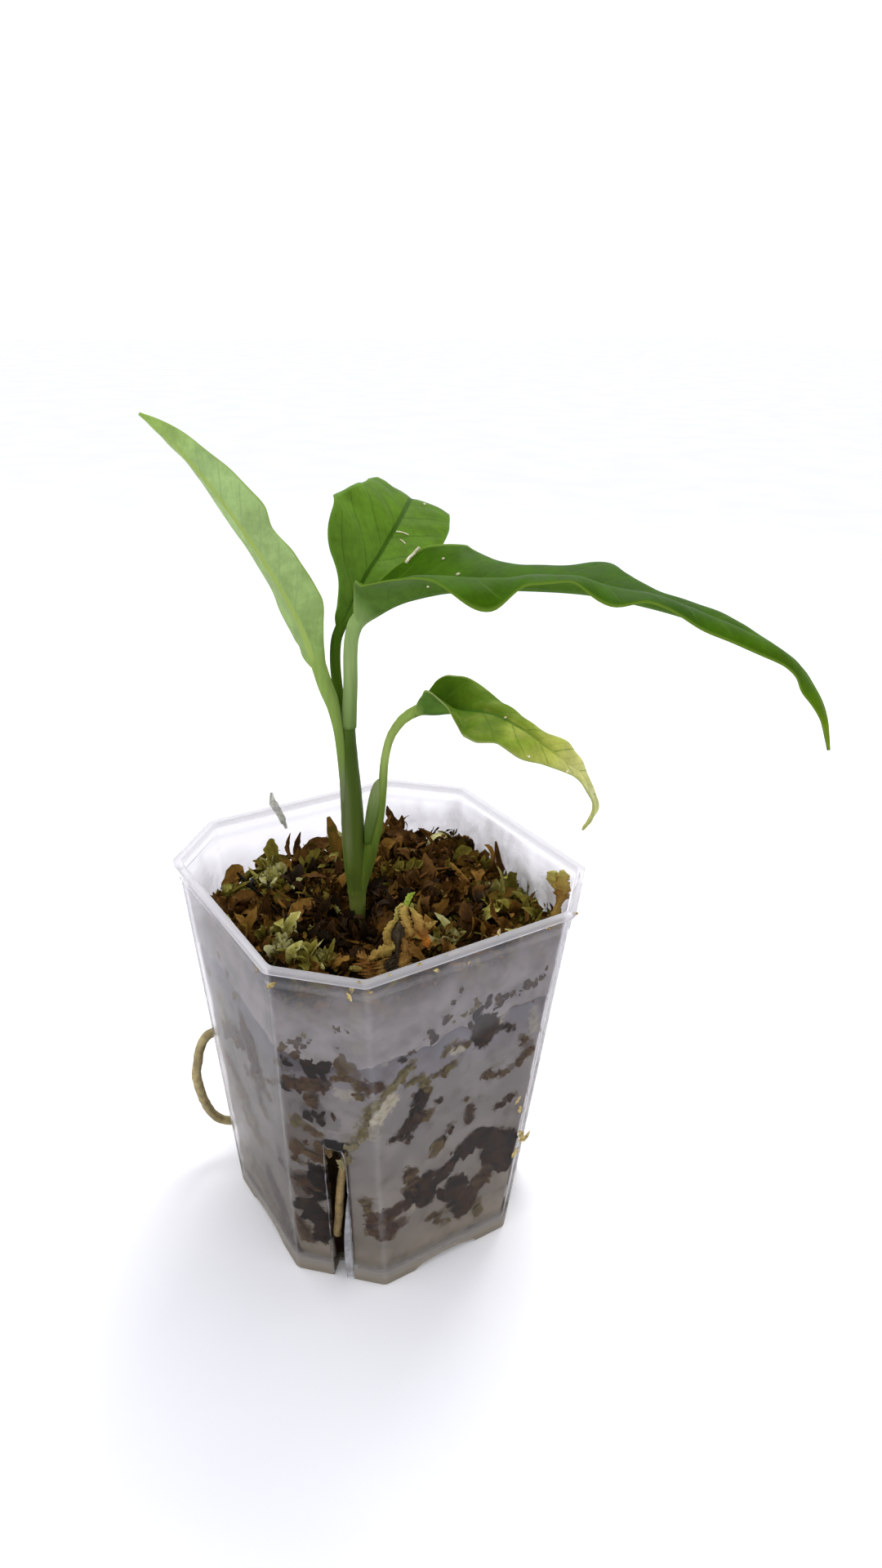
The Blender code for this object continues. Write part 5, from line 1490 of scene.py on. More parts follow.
# Clumps against the wall. "seen" are strokes on the photo: from (x, y) to (x, y), width in mm, tone, and how full.
# "other" is how many strokes each wall that the photo doesn't show gets, wide walls and cut corners.
wallForm = {
    "seed": 12,
    "seen": [
        (362, 1226, 364, 1252, 3.8, 0.98, 0.9), (345, 1216, 352, 1232, 3.4, 0.8, 0.35),
        (420, 1222, 420, 1240, 1.2, 0.9, 0.45), (456, 1263, 471, 1257, 2.0, 0.92, 0.6),
        (470, 1292, 478, 1302, 3.0, 0.9, 0.5), (414, 1345, 430, 1348, 2.8, 0.95, 0.5),
        (483, 1352, 464, 1380, 3.6, 0.99, 0.95), (462, 1382, 456, 1398, 3.0, 0.85, 0.4),
        (454, 1341, 460, 1342, 1.4, 0.95, 0.8), (508, 1487, 512, 1480, 1.8, 0.9, 0.5),
        (618, 1256, 632, 1226, 0.9, 0.9, 0.7), (658, 1242, 659, 1262, 2.2, 0.9, 0.45),
        (559, 1292, 569, 1286, 2.2, 0.97, 0.75), (576, 1231, 580, 1229, 1.4, 0.9, 0.6),
        (614, 1225, 650, 1208, 3.0, 0.2, 0.9), (650, 1212, 668, 1200, 2.4, 0.24, 0.85),
        (664, 1205, 673, 1188, 1.8, 0.34, 0.6), (565, 1214, 567, 1220, 1.6, 0.3, 0.6),
        (560, 1229, 562, 1230, 1.5, 0.28, 0.7), (546, 1250, 556, 1249, 2.2, 0.26, 0.9),
        (556, 1250, 575, 1246, 1.6, 0.6, 0.85), (575, 1246, 588, 1234, 1.6, 0.56, 0.85),
        (588, 1234, 583, 1223, 1.2, 0.5, 0.7), (590, 1240, 603, 1256, 4.0, 0.12, 0.95),
        (598, 1250, 597, 1276, 5.2, 0.12, 1.0), (604, 1247, 612, 1240, 2.0, 0.14, 0.9),
        (610, 1262, 632, 1263, 1.6, 0.14, 0.9), (497, 1300, 499, 1301, 1.6, 0.1, 0.8),
        (505, 1295, 522, 1280, 1.2, 0.24, 0.85), (522, 1280, 534, 1272, 2.6, 0.18, 0.9),
        (530, 1265, 531, 1274, 1.6, 0.2, 0.9), (548, 1297, 552, 1288, 1.5, 0.5, 0.8),
        (552, 1288, 562, 1282, 1.5, 0.5, 0.8), (562, 1282, 578, 1284, 1.3, 0.4, 0.75),
        (545, 1318, 562, 1306, 1.9, 0.45, 0.85), (535, 1322, 548, 1321, 1.3, 0.4, 0.7),
        (644, 1275, 655, 1290, 2.4, 0.3, 0.65), (650, 1290, 640, 1305, 2.0, 0.34, 0.75),
        (640, 1305, 622, 1318, 1.4, 0.36, 0.65), (622, 1318, 600, 1322, 1.6, 0.3, 0.8),
        (594, 1325, 603, 1316, 1.6, 0.3, 0.8), (508, 1308, 482, 1338, 2.4, 0.6, 0.75),
        (482, 1338, 462, 1360, 2.2, 0.6, 0.7), (462, 1360, 445, 1390, 2.2, 0.6, 0.7),
        (445, 1390, 425, 1410, 2.0, 0.62, 0.65), (425, 1410, 418, 1436, 2.0, 0.6, 0.6),
        (503, 1331, 515, 1326, 1.8, 0.56, 0.8), (515, 1326, 524, 1330, 1.8, 0.54, 0.85),
        (524, 1330, 529, 1342, 2.0, 0.42, 0.85), (520, 1346, 517, 1365, 3.2, 0.13, 0.95),
        (517, 1365, 505, 1385, 3.8, 0.12, 0.95), (505, 1385, 486, 1402, 2.0, 0.14, 0.85),
        (522, 1366, 530, 1369, 2.2, 0.4, 0.8), (503, 1398, 506, 1404, 1.4, 0.2, 0.6),
        (541, 1353, 543, 1352, 1.4, 0.12, 0.85), (574, 1352, 576, 1351, 1.0, 0.4, 0.4),
        (578, 1361, 582, 1375, 2.0, 0.2, 0.85), (613, 1360, 632, 1345, 1.9, 0.2, 0.85),
        (556, 1383, 546, 1400, 1.5, 0.2, 0.75), (545, 1400, 534, 1418, 2.5, 0.42, 0.85),
        (576, 1404, 594, 1391, 3.2, 0.12, 0.95), (600, 1399, 630, 1405, 6.4, 0.1, 1.0),
        (604, 1415, 626, 1426, 4.2, 0.12, 1.0), (565, 1419, 582, 1408, 3.4, 0.1, 0.95),
        (560, 1424, 547, 1440, 2.6, 0.13, 0.95), (547, 1440, 525, 1446, 2.6, 0.15, 0.95),
        (504, 1440, 516, 1452, 2.8, 0.3, 0.9), (514, 1455, 526, 1471, 5.2, 0.12, 1.0),
        (500, 1461, 510, 1462, 2.2, 0.36, 0.7), (542, 1449, 552, 1437, 3.0, 0.14, 0.9),
        (600, 1438, 580, 1463, 4.2, 0.24, 0.9), (560, 1455, 570, 1480, 5.4, 0.16, 0.95),
        (580, 1472, 566, 1492, 3.4, 0.2, 0.85), (546, 1490, 530, 1496, 2.0, 0.3, 0.7),
        (538, 1499, 552, 1503, 1.4, 0.36, 0.6), (587, 1475, 590, 1490, 2.1, 0.45, 0.75),
        (579, 1511, 586, 1509, 2.3, 0.1, 0.85), (545, 1530, 590, 1516, 1.0, 0.4, 0.5),
        (445, 1476, 450, 1490, 2.2, 0.4, 0.65), (455, 1500, 480, 1492, 3.8, 0.24, 0.9),
        (480, 1491, 502, 1480, 3.4, 0.2, 0.9), (455, 1513, 486, 1506, 3.8, 0.24, 0.85),
        (465, 1522, 480, 1520, 2.0, 0.3, 0.65), (342, 1283, 360, 1284, 2.6, 0.32, 0.85),
        (360, 1284, 379, 1280, 2.2, 0.3, 0.85), (360, 1288, 357, 1296, 2.4, 0.3, 0.8),
        (367, 1270, 370, 1271, 1.8, 0.6, 0.55), (345, 1306, 395, 1312, 4.5, 0.06, 0.35),
        (408, 1264, 425, 1264, 1.8, 0.36, 0.75), (347, 1329, 366, 1334, 3.0, 0.22, 0.9),
        (366, 1334, 391, 1333, 3.2, 0.24, 0.9), (376, 1340, 381, 1358, 2.6, 0.3, 0.8),
        (400, 1325, 416, 1325, 1.4, 0.3, 0.75), (415, 1317, 430, 1322, 3.0, 0.38, 0.7),
        (430, 1326, 440, 1341, 2.2, 0.34, 0.8), (446, 1335, 466, 1338, 2.6, 0.26, 0.85),
        (430, 1346, 446, 1349, 1.6, 0.36, 0.75), (357, 1375, 366, 1383, 2.4, 0.46, 0.75),
        (372, 1388, 386, 1395, 2.4, 0.34, 0.8), (350, 1420, 366, 1431, 1.6, 0.34, 0.75),
        (384, 1438, 387, 1470, 4.0, 0.02, 1.0), (372, 1478, 390, 1500, 4.6, 0.04, 1.0),
        (390, 1500, 395, 1520, 4.0, 0.12, 0.95), (356, 1495, 371, 1520, 3.4, 0.3, 0.8),
        (350, 1505, 359, 1532, 2.6, 0.32, 0.65), (380, 1366, 400, 1380, 5.0, 0.1, 0.3),
        (358, 1398, 398, 1418, 7.0, 0.3, 0.35), (352, 1446, 374, 1466, 6.0, 0.2, 0.55),
        (405, 1290, 428, 1300, 5.0, 0.3, 0.3),
        (332, 1286, 344, 1291, 1.5, 0.4, 0.7), (331, 1300, 346, 1312, 1.4, 0.45, 0.7),
        (338, 1330, 340, 1331, 1.7, 0.0, 1.2), (320, 1326, 334, 1326, 1.0, 0.3, 0.6),
        (260, 1165, 272, 1192, 1.6, 0.42, 0.6), (272, 1192, 285, 1222, 2.4, 0.4, 0.6),
        (250, 1188, 251, 1194, 2.4, 0.36, 0.55), (264, 1222, 270, 1250, 5.0, 0.7, 0.35),
        (268, 1256, 290, 1276, 5.0, 0.3, 0.6), (290, 1250, 305, 1290, 4.4, 0.26, 0.7),
        (300, 1284, 313, 1320, 5.4, 0.24, 0.8), (275, 1298, 286, 1322, 4.4, 0.3, 0.5),
        (295, 1310, 325, 1346, 2.2, 0.3, 0.6), (289, 1335, 310, 1390, 6.5, 0.42, 0.75),
        (310, 1340, 319, 1366, 3.4, 0.36, 0.65), (284, 1395, 310, 1432, 5.2, 0.5, 0.55),
        (335, 1409, 341, 1426, 2.2, 0.24, 0.55), (325, 1440, 345, 1490, 5.6, 0.24, 0.7),
        (314, 1438, 330, 1476, 4.4, 0.42, 0.45), (340, 1490, 351, 1522, 4.4, 0.3, 0.6),
    ],
    "other": (24, 9),
    "upper": 63.0,
}


def listStrokes():
    # every clump as (start, end, direction of the wall, width, tone, fullness)
    draw = random.Random(wallForm["seed"])
    deep = potForm["wall"] + 0.12
    strokes = []
    for ax, ay, bx, by, width, tone, full in wallForm["seen"]:
        start, out = wallSpot(ax, ay, deep)
        end, _ = wallSpot(bx, by, deep)
        strokes.append((start, end, out, width, tone, full))
    for k, (out, low, lean) in enumerate(wallFaces()):
        if k in (4, 5, 6):
            continue
        side = np.array((-out[1], out[0], 0))
        wide = 26.0 if k % 2 == 0 else 7.0
        for _ in range(wallForm["other"][k % 2]):
            z = draw.uniform(6, wallForm["upper"])
            u = draw.uniform(-wide / 2 - 4, wide / 2 + 4) if k % 2 == 0 else draw.uniform(-wide / 2, wide / 2)
            lean45 = draw.uniform(0.1, 1.2)
            length = draw.choice((2.0, 4.0, 6.0, 9.0))
            ends = []
            for sign in (-0.5, 0.5):
                high = z + sign * length * math.sin(lean45)
                shift = u + sign * length * math.cos(lean45)
                ends.append(out * (low + lean * high - deep) + side * shift + np.array((0, 0, high)))
            width = draw.choice((1.2, 1.6, 2.4, 4.6))
            tone = draw.choice((0.05, 0.1, 0.16, 0.2, 0.28, 0.34, 0.5, 0.66, 0.84, 0.98))
            strokes.append((ends[0], ends[1], out, width, tone, draw.uniform(0.7, 1.0)))
    return strokes


def wallClump(store, draw, start, end, out, width, tone, full):
    # flat ragged bits along a stroke, pressed against the inside of the wall
    start, end = np.array(start), np.array(end)
    run = end - start
    length = max(float(np.linalg.norm(run)), 0.5)
    along = run / length
    across = np.cross(out, along)
    count = max(3, int(full * length * width * 0.75 + full * 3))
    for _ in range(count):
        u = draw.uniform(-0.04, 1.04)
        v = max(-1.25, min(1.25, draw.gauss(0, 0.5))) * width / 2
        size = draw.uniform(0.7, 1.25) * min(3.0, 0.8 + width * 0.5)
        base = start + run * u + across * v - out * draw.uniform(0.0, 0.45)
        heading = along * draw.uniform(-1, 1) + across * draw.uniform(-0.8, 0.8)
        base = base - unit(heading) * size * 0.5
        store.add(base, heading, out + 0.25 * along * draw.uniform(-1, 1), size, size * draw.uniform(0.4, 0.75),
                  draw.uniform(-0.15, 0.15), draw.uniform(-0.3, 0.1), tone + draw.uniform(-0.06, 0.1),
                  draw.uniform(0, 10))


def wallMoss(material):
    draw = random.Random(wallForm["seed"])
    store = Leaflets(5, 2)
    for start, end, out, width, tone, full in wallStrokes:
        if tone < 0.75:
            wallClump(store, draw, start, end, out, width, tone, full)
    store.build("wallMoss", material, 0.14)


# A grey see-through film on the inside of the wall above the imported filling, thickest low down and fading upwards:
# how thick it is on the walls facing -Y, +X, +Y, -X
mistForm = {
    "gap": 0.4,
    "below": 2.5,
    "high": (16.0, 12.0, 6.0, 16.0),
    "thick": (0.84, 0.74, 0.15, 0.8),
    "colour": (176, 171, 168),
}


def mist():
    sides, rows = 240, 14
    vertices = []
    share = []
    for k in range(sides):
        angle = 2 * math.pi * k / sides
        ray = np.array((math.cos(angle), math.sin(angle)))
        facing = np.array((-ray[1], ray[0], ray[1], -ray[0])).clip(0, 1) ** 2
        rim = float(innerReach(*ray, mossForm["level"])) - 1.6
        low = mossHeight(*(rim * ray)) - mistForm["below"]
        high = float(facing @ np.array(mistForm["high"])) * (1 + 0.5 * noise.noise(Vector((*ray * 2.0, 4.0))))
        for i in range(rows + 1):
            z = min(low + (high + mistForm["below"]) * i / rows, potForm["height"] - 2.0)
            reach = float(innerReach(*ray, z)) - mistForm["gap"]
            vertices.append((reach * ray[0], reach * ray[1], z))
            fade = 1 - max(0.0, (i / rows - 0.45) / 0.55) ** 1.6
            share.append(float(facing @ np.array(mistForm["thick"])) * fade)
    faces = []
    for k in range(sides):
        for i in range(rows):
            a = k * (rows + 1) + i
            b = (k + 1) % sides * (rows + 1) + i
            faces.append((a, b, b + 1, a + 1))
    piece = meshPiece("innerMist", vertices, faces)
    setAttribute(piece, "mist", "FLOAT", share)
    paint = Shading("mistFinish")
    patches = paint.span(paint.noise(5, 4, roughness=0.6), 0.3, 0.7, 0.75, 1.2)
    veil = paint.math("MULTIPLY", paint.attribute("mist"), patches)
    dress(piece, paint.finish(Base_Color=(*linear(*mistForm["colour"]), 1), Roughness=0.9, Alpha=veil,
                              Specular_IOR_Level=0.0))


patchSpots = [(onMoss(px, py), reach, tone) for px, py, reach, tone in mossMarks["patches"]]
wallStrokes = listStrokes()
mossMaterial = mossFinish("mossFinish")
mossBody()
mossTop(mossMaterial)
mossDetails(mossMaterial)
wallMoss(mossFinish("pressedMoss", "clumps"))
mist()
print("the moss is in place")

# Sprigs: the crumpled dried moss that stands up at the front, and the small one at the right rim
# Each sheet: its two edges by pixel, how far away it starts and ends, bulge in mm, first and last tone, ragged share

sprigForm = {
    "front": [
        (((490, 1150), (488, 1170), (485, 1200)), ((494, 1148), (498, 1170), (497, 1200)), -17.6, -17.2, 0.4, 0.62,
         0.5, 0.1),
        (((489, 1126), (484, 1133), (480, 1142), (480, 1150), (483, 1159), (484, 1180), (483, 1202)),
         ((490, 1126), (494, 1136), (496, 1143), (493, 1151), (491, 1159), (491, 1180), (490, 1202)), -18.2, -17.0,
         0.9, 0.95, 0.97, 0.05),
        (((494.5, 1110), (495, 1104), (497, 1098), (500, 1094.5), (504, 1093), (508.5, 1092.5)),
         ((501, 1112), (502.5, 1104), (505, 1099), (506, 1096.5), (507, 1095), (509, 1093)), -18.9, -19.4, 0.5, 0.06,
         0.02, 0.12),
        (((501, 1114), (502.5, 1108), (504, 1105)), ((506, 1113), (506.5, 1108), (505, 1105)), -19.0, -19.3, 0.3,
         0.22, 0.16, 0.2),
        (((494, 1106), (491, 1106), (486, 1110), (483.5, 1114), (483, 1120), (481, 1129)),
         ((495.5, 1109), (494, 1110), (491, 1113), (489, 1118), (488.5, 1124), (487.5, 1129)), -18.9, -18.1, 0.6,
         0.2, 0.24, 0.12),
        (((483, 1125), (475, 1131), (470, 1139), (468.3, 1146), (469, 1153), (472, 1157)),
         ((488.5, 1126), (483.5, 1133), (480, 1141), (479.5, 1148), (480.5, 1153), (482, 1157)), -18.2, -17.2, 0.9,
         0.3, 0.42, 0.1),
        (((493, 1108), (489.5, 1114), (489, 1121), (490.5, 1128), (494, 1134), (497, 1141), (499, 1145)),
         ((500, 1108), (501, 1117), (503.5, 1127), (506, 1134), (508.5, 1141), (507, 1145)), -19.0, -19.7, 1.1,
         0.34, 0.48, 0.16),
        (((495, 1141), (499, 1145.4), (503, 1147), (507, 1145.6)), ((496.5, 1138), (500.5, 1142.5), (504, 1144),
                                                                   (507.2, 1144.2)), -19.6, -20.0, 0.3, 0.5, 0.55,
         0.25),
        (((500, 1110), (504, 1122), (506, 1130), (509, 1140), (512, 1145), (516, 1151), (519.5, 1157), (522, 1160.5)),
         ((505, 1111), (513, 1119), (519, 1127), (522.5, 1134), (524, 1140), (526, 1147), (527.5, 1153),
          (525, 1160.5)), -19.3, -21.0, 1.3, 0.3, 0.8, 0.12),
        (((519, 1129), (525, 1129.6), (531, 1127.6), (535.6, 1127.6)), ((522.5, 1138), (527, 1137), (532, 1132.5),
                                                                       (536, 1128.2)), -20.6, -21.4, 0.3, 0.42,
         0.36, 0.14),
        (((483, 1154), (475, 1156), (467, 1158), (461, 1163), (455, 1167), (451, 1170)),
         ((484, 1163), (479, 1168), (474, 1172.5), (467, 1172), (461, 1175), (455, 1179)), -17.3, -15.8, 1.1, 0.32,
         0.44, 0.2),
        (((457, 1167), (450, 1168), (443, 1166.6), (436, 1168.6)), ((459, 1180), (451, 1181), (443, 1177),
                                                                   (437, 1174)), -16.0, -14.9, 0.9, 0.5, 0.56, 0.4),
        (((441, 1175), (440, 1182), (442, 1190), (447, 1198)), ((459, 1176), (460, 1184), (461, 1192), (463, 1200)),
         -15.7, -15.9, 0.8, 0.6, 0.56, 0.35),
        (((449, 1181), (448, 1184), (450, 1187)), ((456, 1180), (457, 1184), (455, 1188)), -16.3, -16.3, -0.2, 0.66,
         0.68, 0.3),
        (((425.6, 1185), (433, 1182.6), (440, 1183.6), (446, 1187)), ((426.6, 1186.6), (432, 1189.4), (440, 1190),
                                                                     (447, 1192)), -14.3, -15.6, 0.5, 0.2, 0.34,
         0.14),
        (((457, 1178), (457, 1186), (459, 1194), (463, 1202)), ((473, 1172), (476, 1180), (478, 1188), (479, 1200)),
         -16.4, -16.6, 0.9, 0.52, 0.5, 0.35),
        (((492, 1148), (491.5, 1157), (490, 1168), (488, 1181), (486, 1194)),
         ((495, 1148), (500, 1156), (502, 1167), (503, 1177), (503, 1190)), -18.2, -18.6, 1.0, 0.56, 0.5, 0.25),
        (((497, 1159), (501, 1158), (505, 1161), (507.4, 1166)), ((496, 1169), (501, 1168.6), (505, 1168),
                                                                 (507.8, 1167.4)), -18.5, -19.0, 0.3, 0.54, 0.5,
         0.25),
        (((470, 1180), (472, 1188), (474, 1198)), ((484, 1168), (487, 1182), (487, 1196)), -17.6, -17.6, -0.3, 0.99,
         0.99, 0.1),
    ],
    "side": [
        (((683, 1102), (679.5, 1091), (675, 1084), (670.5, 1078), (669, 1072.5), (672, 1067.5), (677, 1065.6)),
         ((687, 1102), (686, 1091), (684, 1083), (684.5, 1076), (685, 1071), (683, 1068), (680, 1066)), -1.8,
         -1.4, 0.9, 0.5, 0.16, 0.14),
        (((684, 1102), (682, 1090), (680, 1080), (681.5, 1072), (685, 1067), (689, 1064.6)),
         ((694.5, 1100), (698.5, 1091), (699.5, 1083), (698, 1076), (695, 1070), (690.5, 1065)), -1.9, -2.4, 1.1,
         0.5, 0.2, 0.14),
        (((681, 1089), (680.6, 1097), (681, 1103), (679.6, 1109), (676, 1118), (675, 1128), (676, 1146),
          (678, 1156)),
         ((697, 1092), (695.4, 1099), (690.5, 1104), (687, 1109), (688, 1117), (689, 1128), (687, 1146),
          (685, 1156)), -2.1, -2.4, 1.0, 0.56, 0.18, 0.12),
        (((682, 1094), (680.6, 1103), (679, 1112), (679, 1130), (680, 1156)),
         ((690, 1094), (689, 1103), (686.6, 1112), (685.6, 1130), (684, 1156)), -1.2, -1.8, -1.0, 0.5, 0.3, 0.1),
    ],
    "colours": [(0, (132, 164, 44)), (0.18, (168, 162, 84)), (0.36, (172, 146, 74)), (0.5, (160, 124, 62)),
                (0.64, (118, 78, 34)), (0.8, (190, 116, 40)), (0.9, (92, 82, 62)), (1.0, (62, 52, 38))],
}


def sprigFinish():
    paint = Shading("driedSprig")
    speckle = paint.math("MULTIPLY", paint.math("SUBTRACT", paint.noise(0.35, 3, roughness=0.7), 0.5), 0.24)
    patch = paint.math("MULTIPLY", paint.math("SUBTRACT", paint.noise(1.6, 2), 0.5), 0.14)
    tone = paint.math("ADD", paint.math("ADD", paint.attribute("tone"), speckle), patch)
    colour = paint.ramp(tone, sprigForm["colours"])
    cells = paint.span(paint.noise(0.2, 2), 0.3, 0.7, 0.82, 1.12)
    toned = paint.node("ShaderNodeVectorMath", {"operation": "SCALE"}, i0=colour, Scale=cells).outputs[0]
    relief = paint.bump(paint.noise(0.25, 3), 0.5, 0.08)
    return paint.finish(Base_Color=toned, Roughness=0.55, Normal=relief, Specular_IOR_Level=0.08)


def sprigSheet(first, second, start, end, bulge, tones, ragged, seed, rows=34, columns=12, crumple=1.0):
    # a crumpled skin between two edges, with a front and a back
    share = np.linspace(0, 1, rows)
    edges = []
    for edge in (first, second):
        flat = smoothLine([(x, y, 0) for x, y in edge], rows)
        edges.append(np.array([plantSpot(x, y, start + (end - start) * u) for (x, y, _), u in zip(flat, share)]))
    towards = turned([(0.1, -0.9, 0.42)])[0]
    skins = [[], []]
    shades = []
    for i, u in enumerate(share):
        across = edges[1][i] - edges[0][i]
        wide = float(np.linalg.norm(across))
        for j in range(columns + 1):
            w = j / columns
            side = abs(2 * w - 1) ** 2
            tear = 1.6 * ragged * side * noise.noise(Vector((u * 9 + seed * 3.1, w * 2, seed)))
            tear += 1.6 * ragged * side * noise.noise(Vector((u * 30 + seed, w * 3, seed * 2.3)))
            at = edges[0][i] + across * (w + (tear if w > 0.5 else -tear))
            lift = bulge * 4 * w * (1 - w) * min(1.0, wide / 1.6)
            lift += crumple * 0.45 * noise.noise(Vector((u * 7 + seed, w * 2.6, 9.0)))
            lift += crumple * 0.2 * noise.noise(Vector((u * 18 + seed, w * 6, 4.0)))
            crease = crumple * 0.35 * noise.noise(Vector((u * 3 + seed, w * 8, 5.0)))
            for skin, back in ((0, 0.0), (1, 0.22)):
                skins[skin].append(at + towards * (lift - back - back * bulge * 0.4 * 4 * w * (1 - w)))
            shades.append(tones[0] + (tones[1] - tones[0]) * u + 0.3 * crease + 0.05 * abs(2 * w - 1))
    faces = []
    step = columns + 1
    lower = rows * step
    for i in range(rows - 1):
        for j in range(columns):
            a = i * step + j
            faces.append((a, a + 1, a + step + 1, a + step))
            faces.append((lower + a, lower + a + step, lower + a + step + 1, lower + a + 1))
        for j in (0, columns):
            a = i * step + j
            faces.append((a, a + step, lower + a + step, lower + a))
    for i in (0, rows - 1):
        for j in range(columns):
            a = i * step + j
            faces.append((a, a + 1, lower + a + 1, lower + a))
    return skins[0] + skins[1], faces, shades + shades


def sprig(name, sheets, node, seed):
    bits = Gather()
    for i, (first, second, start, end, bulge, firstTone, lastTone, ragged) in enumerate(sheets):
        bits.add(*sprigSheet(first, second, start, end, bulge, (firstTone, lastTone), ragged, seed + i * 1.37))
    bits.vertices = keepInside(bits.vertices, 0.12).tolist()
    piece = bits.piece(name, node, node)
    turnOut(piece)
    dress(piece, sprigFinish())


sprig("frontSprig", sprigForm["front"], "moss_sprig_front", 2.0)
sprig("sideSprig", sprigForm["side"], "moss_sprig_side", 7.0)
print("the sprigs are in place")

# Sheath: the thin pale wing on the left of the low petiole, its edges by pixel

sheathForm = {
    "edges": (((463, 953.5), (458.5, 958), (454, 968), (450.5, 983), (447.5, 1000), (446, 1015), (446.5, 1034)),
              ((465, 955), (466, 965), (465.5, 980), (463, 995), (459, 1012), (454, 1034))),
    "away": (0.0, -0.7),
    "colours": [(0.0, (160, 176, 120)), (0.5, (118, 140, 78)), (1.0, (86, 110, 48))],
}


def sheath():
    first, second = sheathForm["edges"]
    vertices, faces, tones = sprigSheet(first, second, *sheathForm["away"], 0.25, (0.0, 1.0), 0.01, 31.0, 30, 8, 0.2)
    bits = Gather()
    bits.add(vertices, faces, tones)
    piece = bits.piece("petioleSheath", "leaf_low")
    turnOut(piece)
    paint = Shading("sheathFinish")
    colour = paint.ramp(paint.attribute("tone"), sheathForm["colours"], seen)
    shade = paint.span(paint.noise(0.6, 2, (1, 1, 0.1)), 0.3, 0.7, 0.9, 1.1)
    toned = paint.node("ShaderNodeVectorMath", {"operation": "SCALE"}, i0=colour, Scale=shade).outputs[0]
    dress(piece, paint.finish(Base_Color=toned, Roughness=0.5, Specular_IOR_Level=0.05))


sheath()
print("the sheath is in place")

# Crumbs that stick to leaves and pot, by pixel

crumbForm = {
    "sticks": [("leafLong", ((497.5, 690), (502, 684), (508, 678), (514, 671)), 0.3),
               ("leafBack", ((485, 651), (492, 652), (500, 655)), 0.12),
               ("leafBack", ((490, 661), (493, 663), (496, 666)), 0.12)],
    "scrap": ((332, 972), (336, 988), (344, 1000), (350, 1014)),
    "specks": [("leafLong", 561, 704, 0.55), ("leafLong", 543, 685, 0.45), ("leafLong", 524, 717, 0.45),
               ("leafBack", 470, 585, 0.5), ("leafBack", 519, 618, 0.5), ("leafLow", 619, 879, 0.5),
               ("leafLow", 647, 927, 0.4), ("leafLow", 694, 945, 0.5)],
    "rim": [(610, 1146, 1.5), (510, 1183, 1.2), (441, 1201, 1.4), (546, 1168, 1.0), (480, 1196, 0.9)],
    "wall": [(424, 1214, 1.9), (430, 1216, 1.6), (338, 1202, 2.0), (314, 1180, 1.6), (530, 1188, 1.3),
             (668, 1130, 1.7), (700, 1118, 1.5), (450, 1215, 0.9), (575, 1176, 0.9),
             (637, 1342, 2.0), (636, 1362, 2.4), (635, 1384, 2.4), (634, 1397, 4.0), (634, 1404, 2.6)],
    "colours": ((196, 178, 120), (128, 106, 58)),
    "fibreColours": ((242, 234, 214), (204, 190, 156)),
    "scrapColours": ((206, 206, 198), (168, 166, 152)),
}


def crumbFinish(name, first, last):
    paint = Shading(name)
    colour = paint.mix(paint.span(paint.noise(0.5, 3), 0.35, 0.65), linear(*first), linear(*last))
    relief = paint.bump(paint.noise(0.3, 2), 0.4, 0.06)
    return paint.finish(Base_Color=colour, Roughness=0.7, Normal=relief, Specular_IOR_Level=0.3)


def onPiece(name, pixels):
    # the points of a piece seen at some pixels, and the directions it faces; beside the piece, as far as its edge
    reached = []
    for px, py in pixels:
        eye, ray = sightLine(px, py)
        hit, spot, facing, _ = bpy.data.objects[name].ray_cast(Vector(eye) * mm, Vector(ray))
        reached.append((math.dist(eye, np.array(spot) / mm) / np.linalg.norm(ray), facing) if hit else None)
    known = [r for r in reached if r]
    placed = []
    for (px, py), found in zip(pixels, reached):
        eye, ray = sightLine(px, py)
        if not known:
            break
        far, facing = found or known[0]
        placed.append((eye + far * ray, np.array(facing if facing @ Vector(ray) < 0 else -facing)))
    return placed


def leafMarks():
    # fibres and specks that lie on the leaves and the wall
    bits = Gather()
    for name, path, radius in crumbForm["sticks"]:
        line = [(*(spot + facing * radius * 0.6), radius) for spot, facing in onPiece(name, path)]
        bits.add(*tubeShape(line, 24, 8, 0.7, 0.3, radius * 20), 0.8)
    for name, px, py, size in crumbForm["specks"]:
        for spot, facing in onPiece(name, ((px, py),)):
            across = np.cross(facing, (0.3, 0.9, 0.2))
            line = [(*(spot + across * size * t + facing * 0.15), size * w) for t, w in
                    ((-0.7, 0.15), (-0.4, 0.4), (0, 0.5), (0.4, 0.35), (0.7, 0.1))]
            bits.add(*tubeShape(line, 12, 8, 0.5, 0.3, px), 0.8)
    piece = bits.piece("leafMarks", "leaf_long")
    turnOut(piece)
    dress(piece, crumbFinish("fibreFinish", *crumbForm["fibreColours"]))
    # a scrap of the filling's liner on the inside of the far wall
    spots = [spot + facing * 0.35 for spot, facing in onPiece("potWall", crumbForm["scrap"])]
    scrap = Gather()
    scrap.add(*ribbon(spots, 1.6, 0.3, 0.5, 4.0, 16, 4, 0.4))
    dress(scrap.piece("wallScrap", "pot"), crumbFinish("scrapFinish", *crumbForm["scrapColours"]))


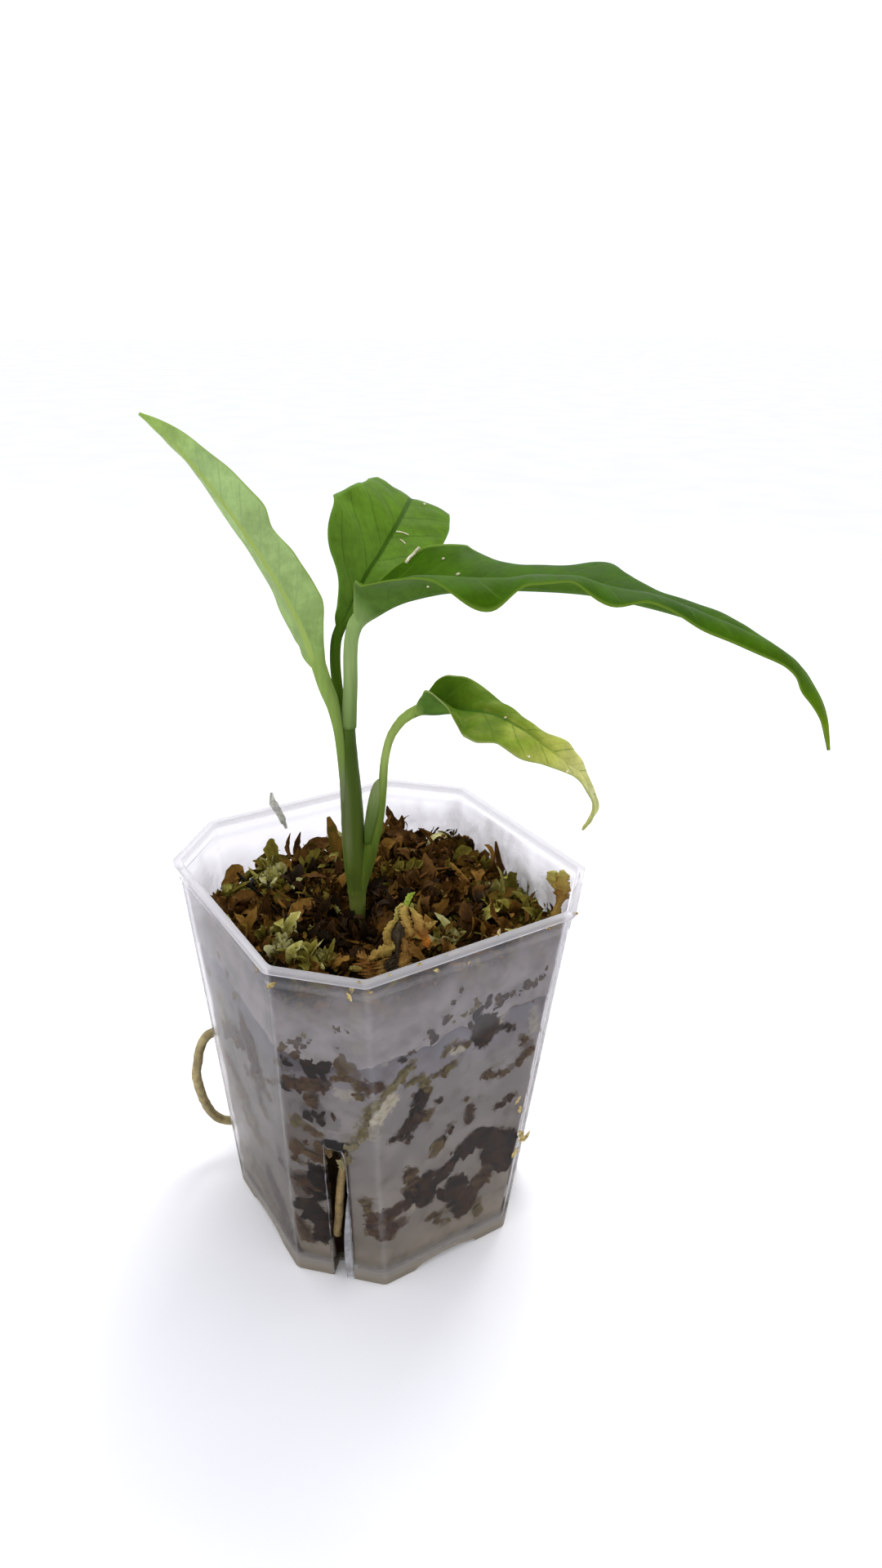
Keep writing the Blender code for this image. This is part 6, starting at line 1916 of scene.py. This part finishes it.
def potCrumbs():
    draw = random.Random(8)
    store = Leaflets(4, 2)
    for px, py, size in crumbForm["wall"]:
        spot, out = wallSpot(px, py, -0.12)
        heading = np.array((draw.uniform(-1, 1) * out[1], draw.uniform(-1, 1) * out[0], draw.uniform(-1, 1)))
        store.add(spot, heading, out, size, size * 0.5, 0.3, 0.4, 0.8, draw.uniform(0, 10))
    for px, py, size in crumbForm["rim"]:
        eye, ray = sightLine(px, py)
        spot = eye + (potForm["height"] + 0.1 - eye[2]) / ray[2] * ray
        store.add(spot, (draw.uniform(-1, 1), draw.uniform(-1, 1), 0.1), (0, 0, 1), size, size * 0.5, 0.3, 0.4,
                  0.84, draw.uniform(0, 10))
    material = crumbFinish("crumbFinish", *crumbForm["colours"])
    store.build("potCrumbs", material, -2.0)
    leafMarks()


potCrumbs()
print("the crumbs are in place")

# Roots

rootForm = {
    "loop": [(-17.5, 17.5, 33.0, 0.9), (-21.5, 21.5, 34.6, 1.0), (-25.0, 24.6, 34.4, 1.05),
             (-29.0, 26.7, 32.6, 1.05), (-31.1, 26.8, 30.2, 1.05), (-32.3, 26.3, 26.4, 1.05),
             (-32.9, 26.1, 23.4, 1.05), (-32.5, 25.9, 19.6, 1.05), (-31.7, 26.0, 15.7, 1.05),
             (-30.3, 25.7, 11.7, 1.05), (-28.0, 25.2, 8.9, 1.0), (-24.0, 23.5, 7.8, 0.95),
             (-20.0, 20.0, 8.4, 0.9), (-16.5, 16.5, 9.5, 0.7)],
    "slot": [(-17.6, -15.6, 7.6, 0.6), (-19.8, -17.6, 8.4, 0.8), (-21.6, -20.4, 12.0, 0.8),
             (-21.5, -21.2, 17.1, 0.85), (-21.5, -22.2, 25.1, 0.85), (-21.3, -23.4, 31.3, 0.8),
             (-20.2, -25.4, 38.4, 0.75), (-17.5, -29.0, 49.2, 0.7), (-13.4, -30.1, 54.2, 0.65),
             (-10.4, -29.3, 56.0, 0.55), (-8.0, -26.4, 57.0, 0.45)],
    "loopColours": ((126, 112, 72), (176, 160, 112)),
    "slotColours": ((104, 84, 46), (150, 126, 76)),
}


def rootPiece(name, points, colours, node):
    vertices, faces = tubeShape(points, 150, 20, 1.0, 0.12, 3.0)
    piece = meshPiece(name, vertices, faces, True, node)
    turnOut(piece)
    paint = Shading(name + "Finish")
    share = paint.span(paint.noise(2.2, 4, roughness=0.6), 0.3, 0.7)
    colour = paint.mix(share, linear(*colours[0]), linear(*colours[1]))
    relief = paint.bump(paint.noise(0.5, 3), 0.4, 0.12)
    dress(piece, paint.finish(Base_Color=colour, Roughness=0.65, Normal=relief))


rootPiece("rootLoop", rootForm["loop"], rootForm["loopColours"], "root_loop")
rootPiece("rootSlot", rootForm["slot"], rootForm["slotColours"], "root_slot")
print("the roots are in place")
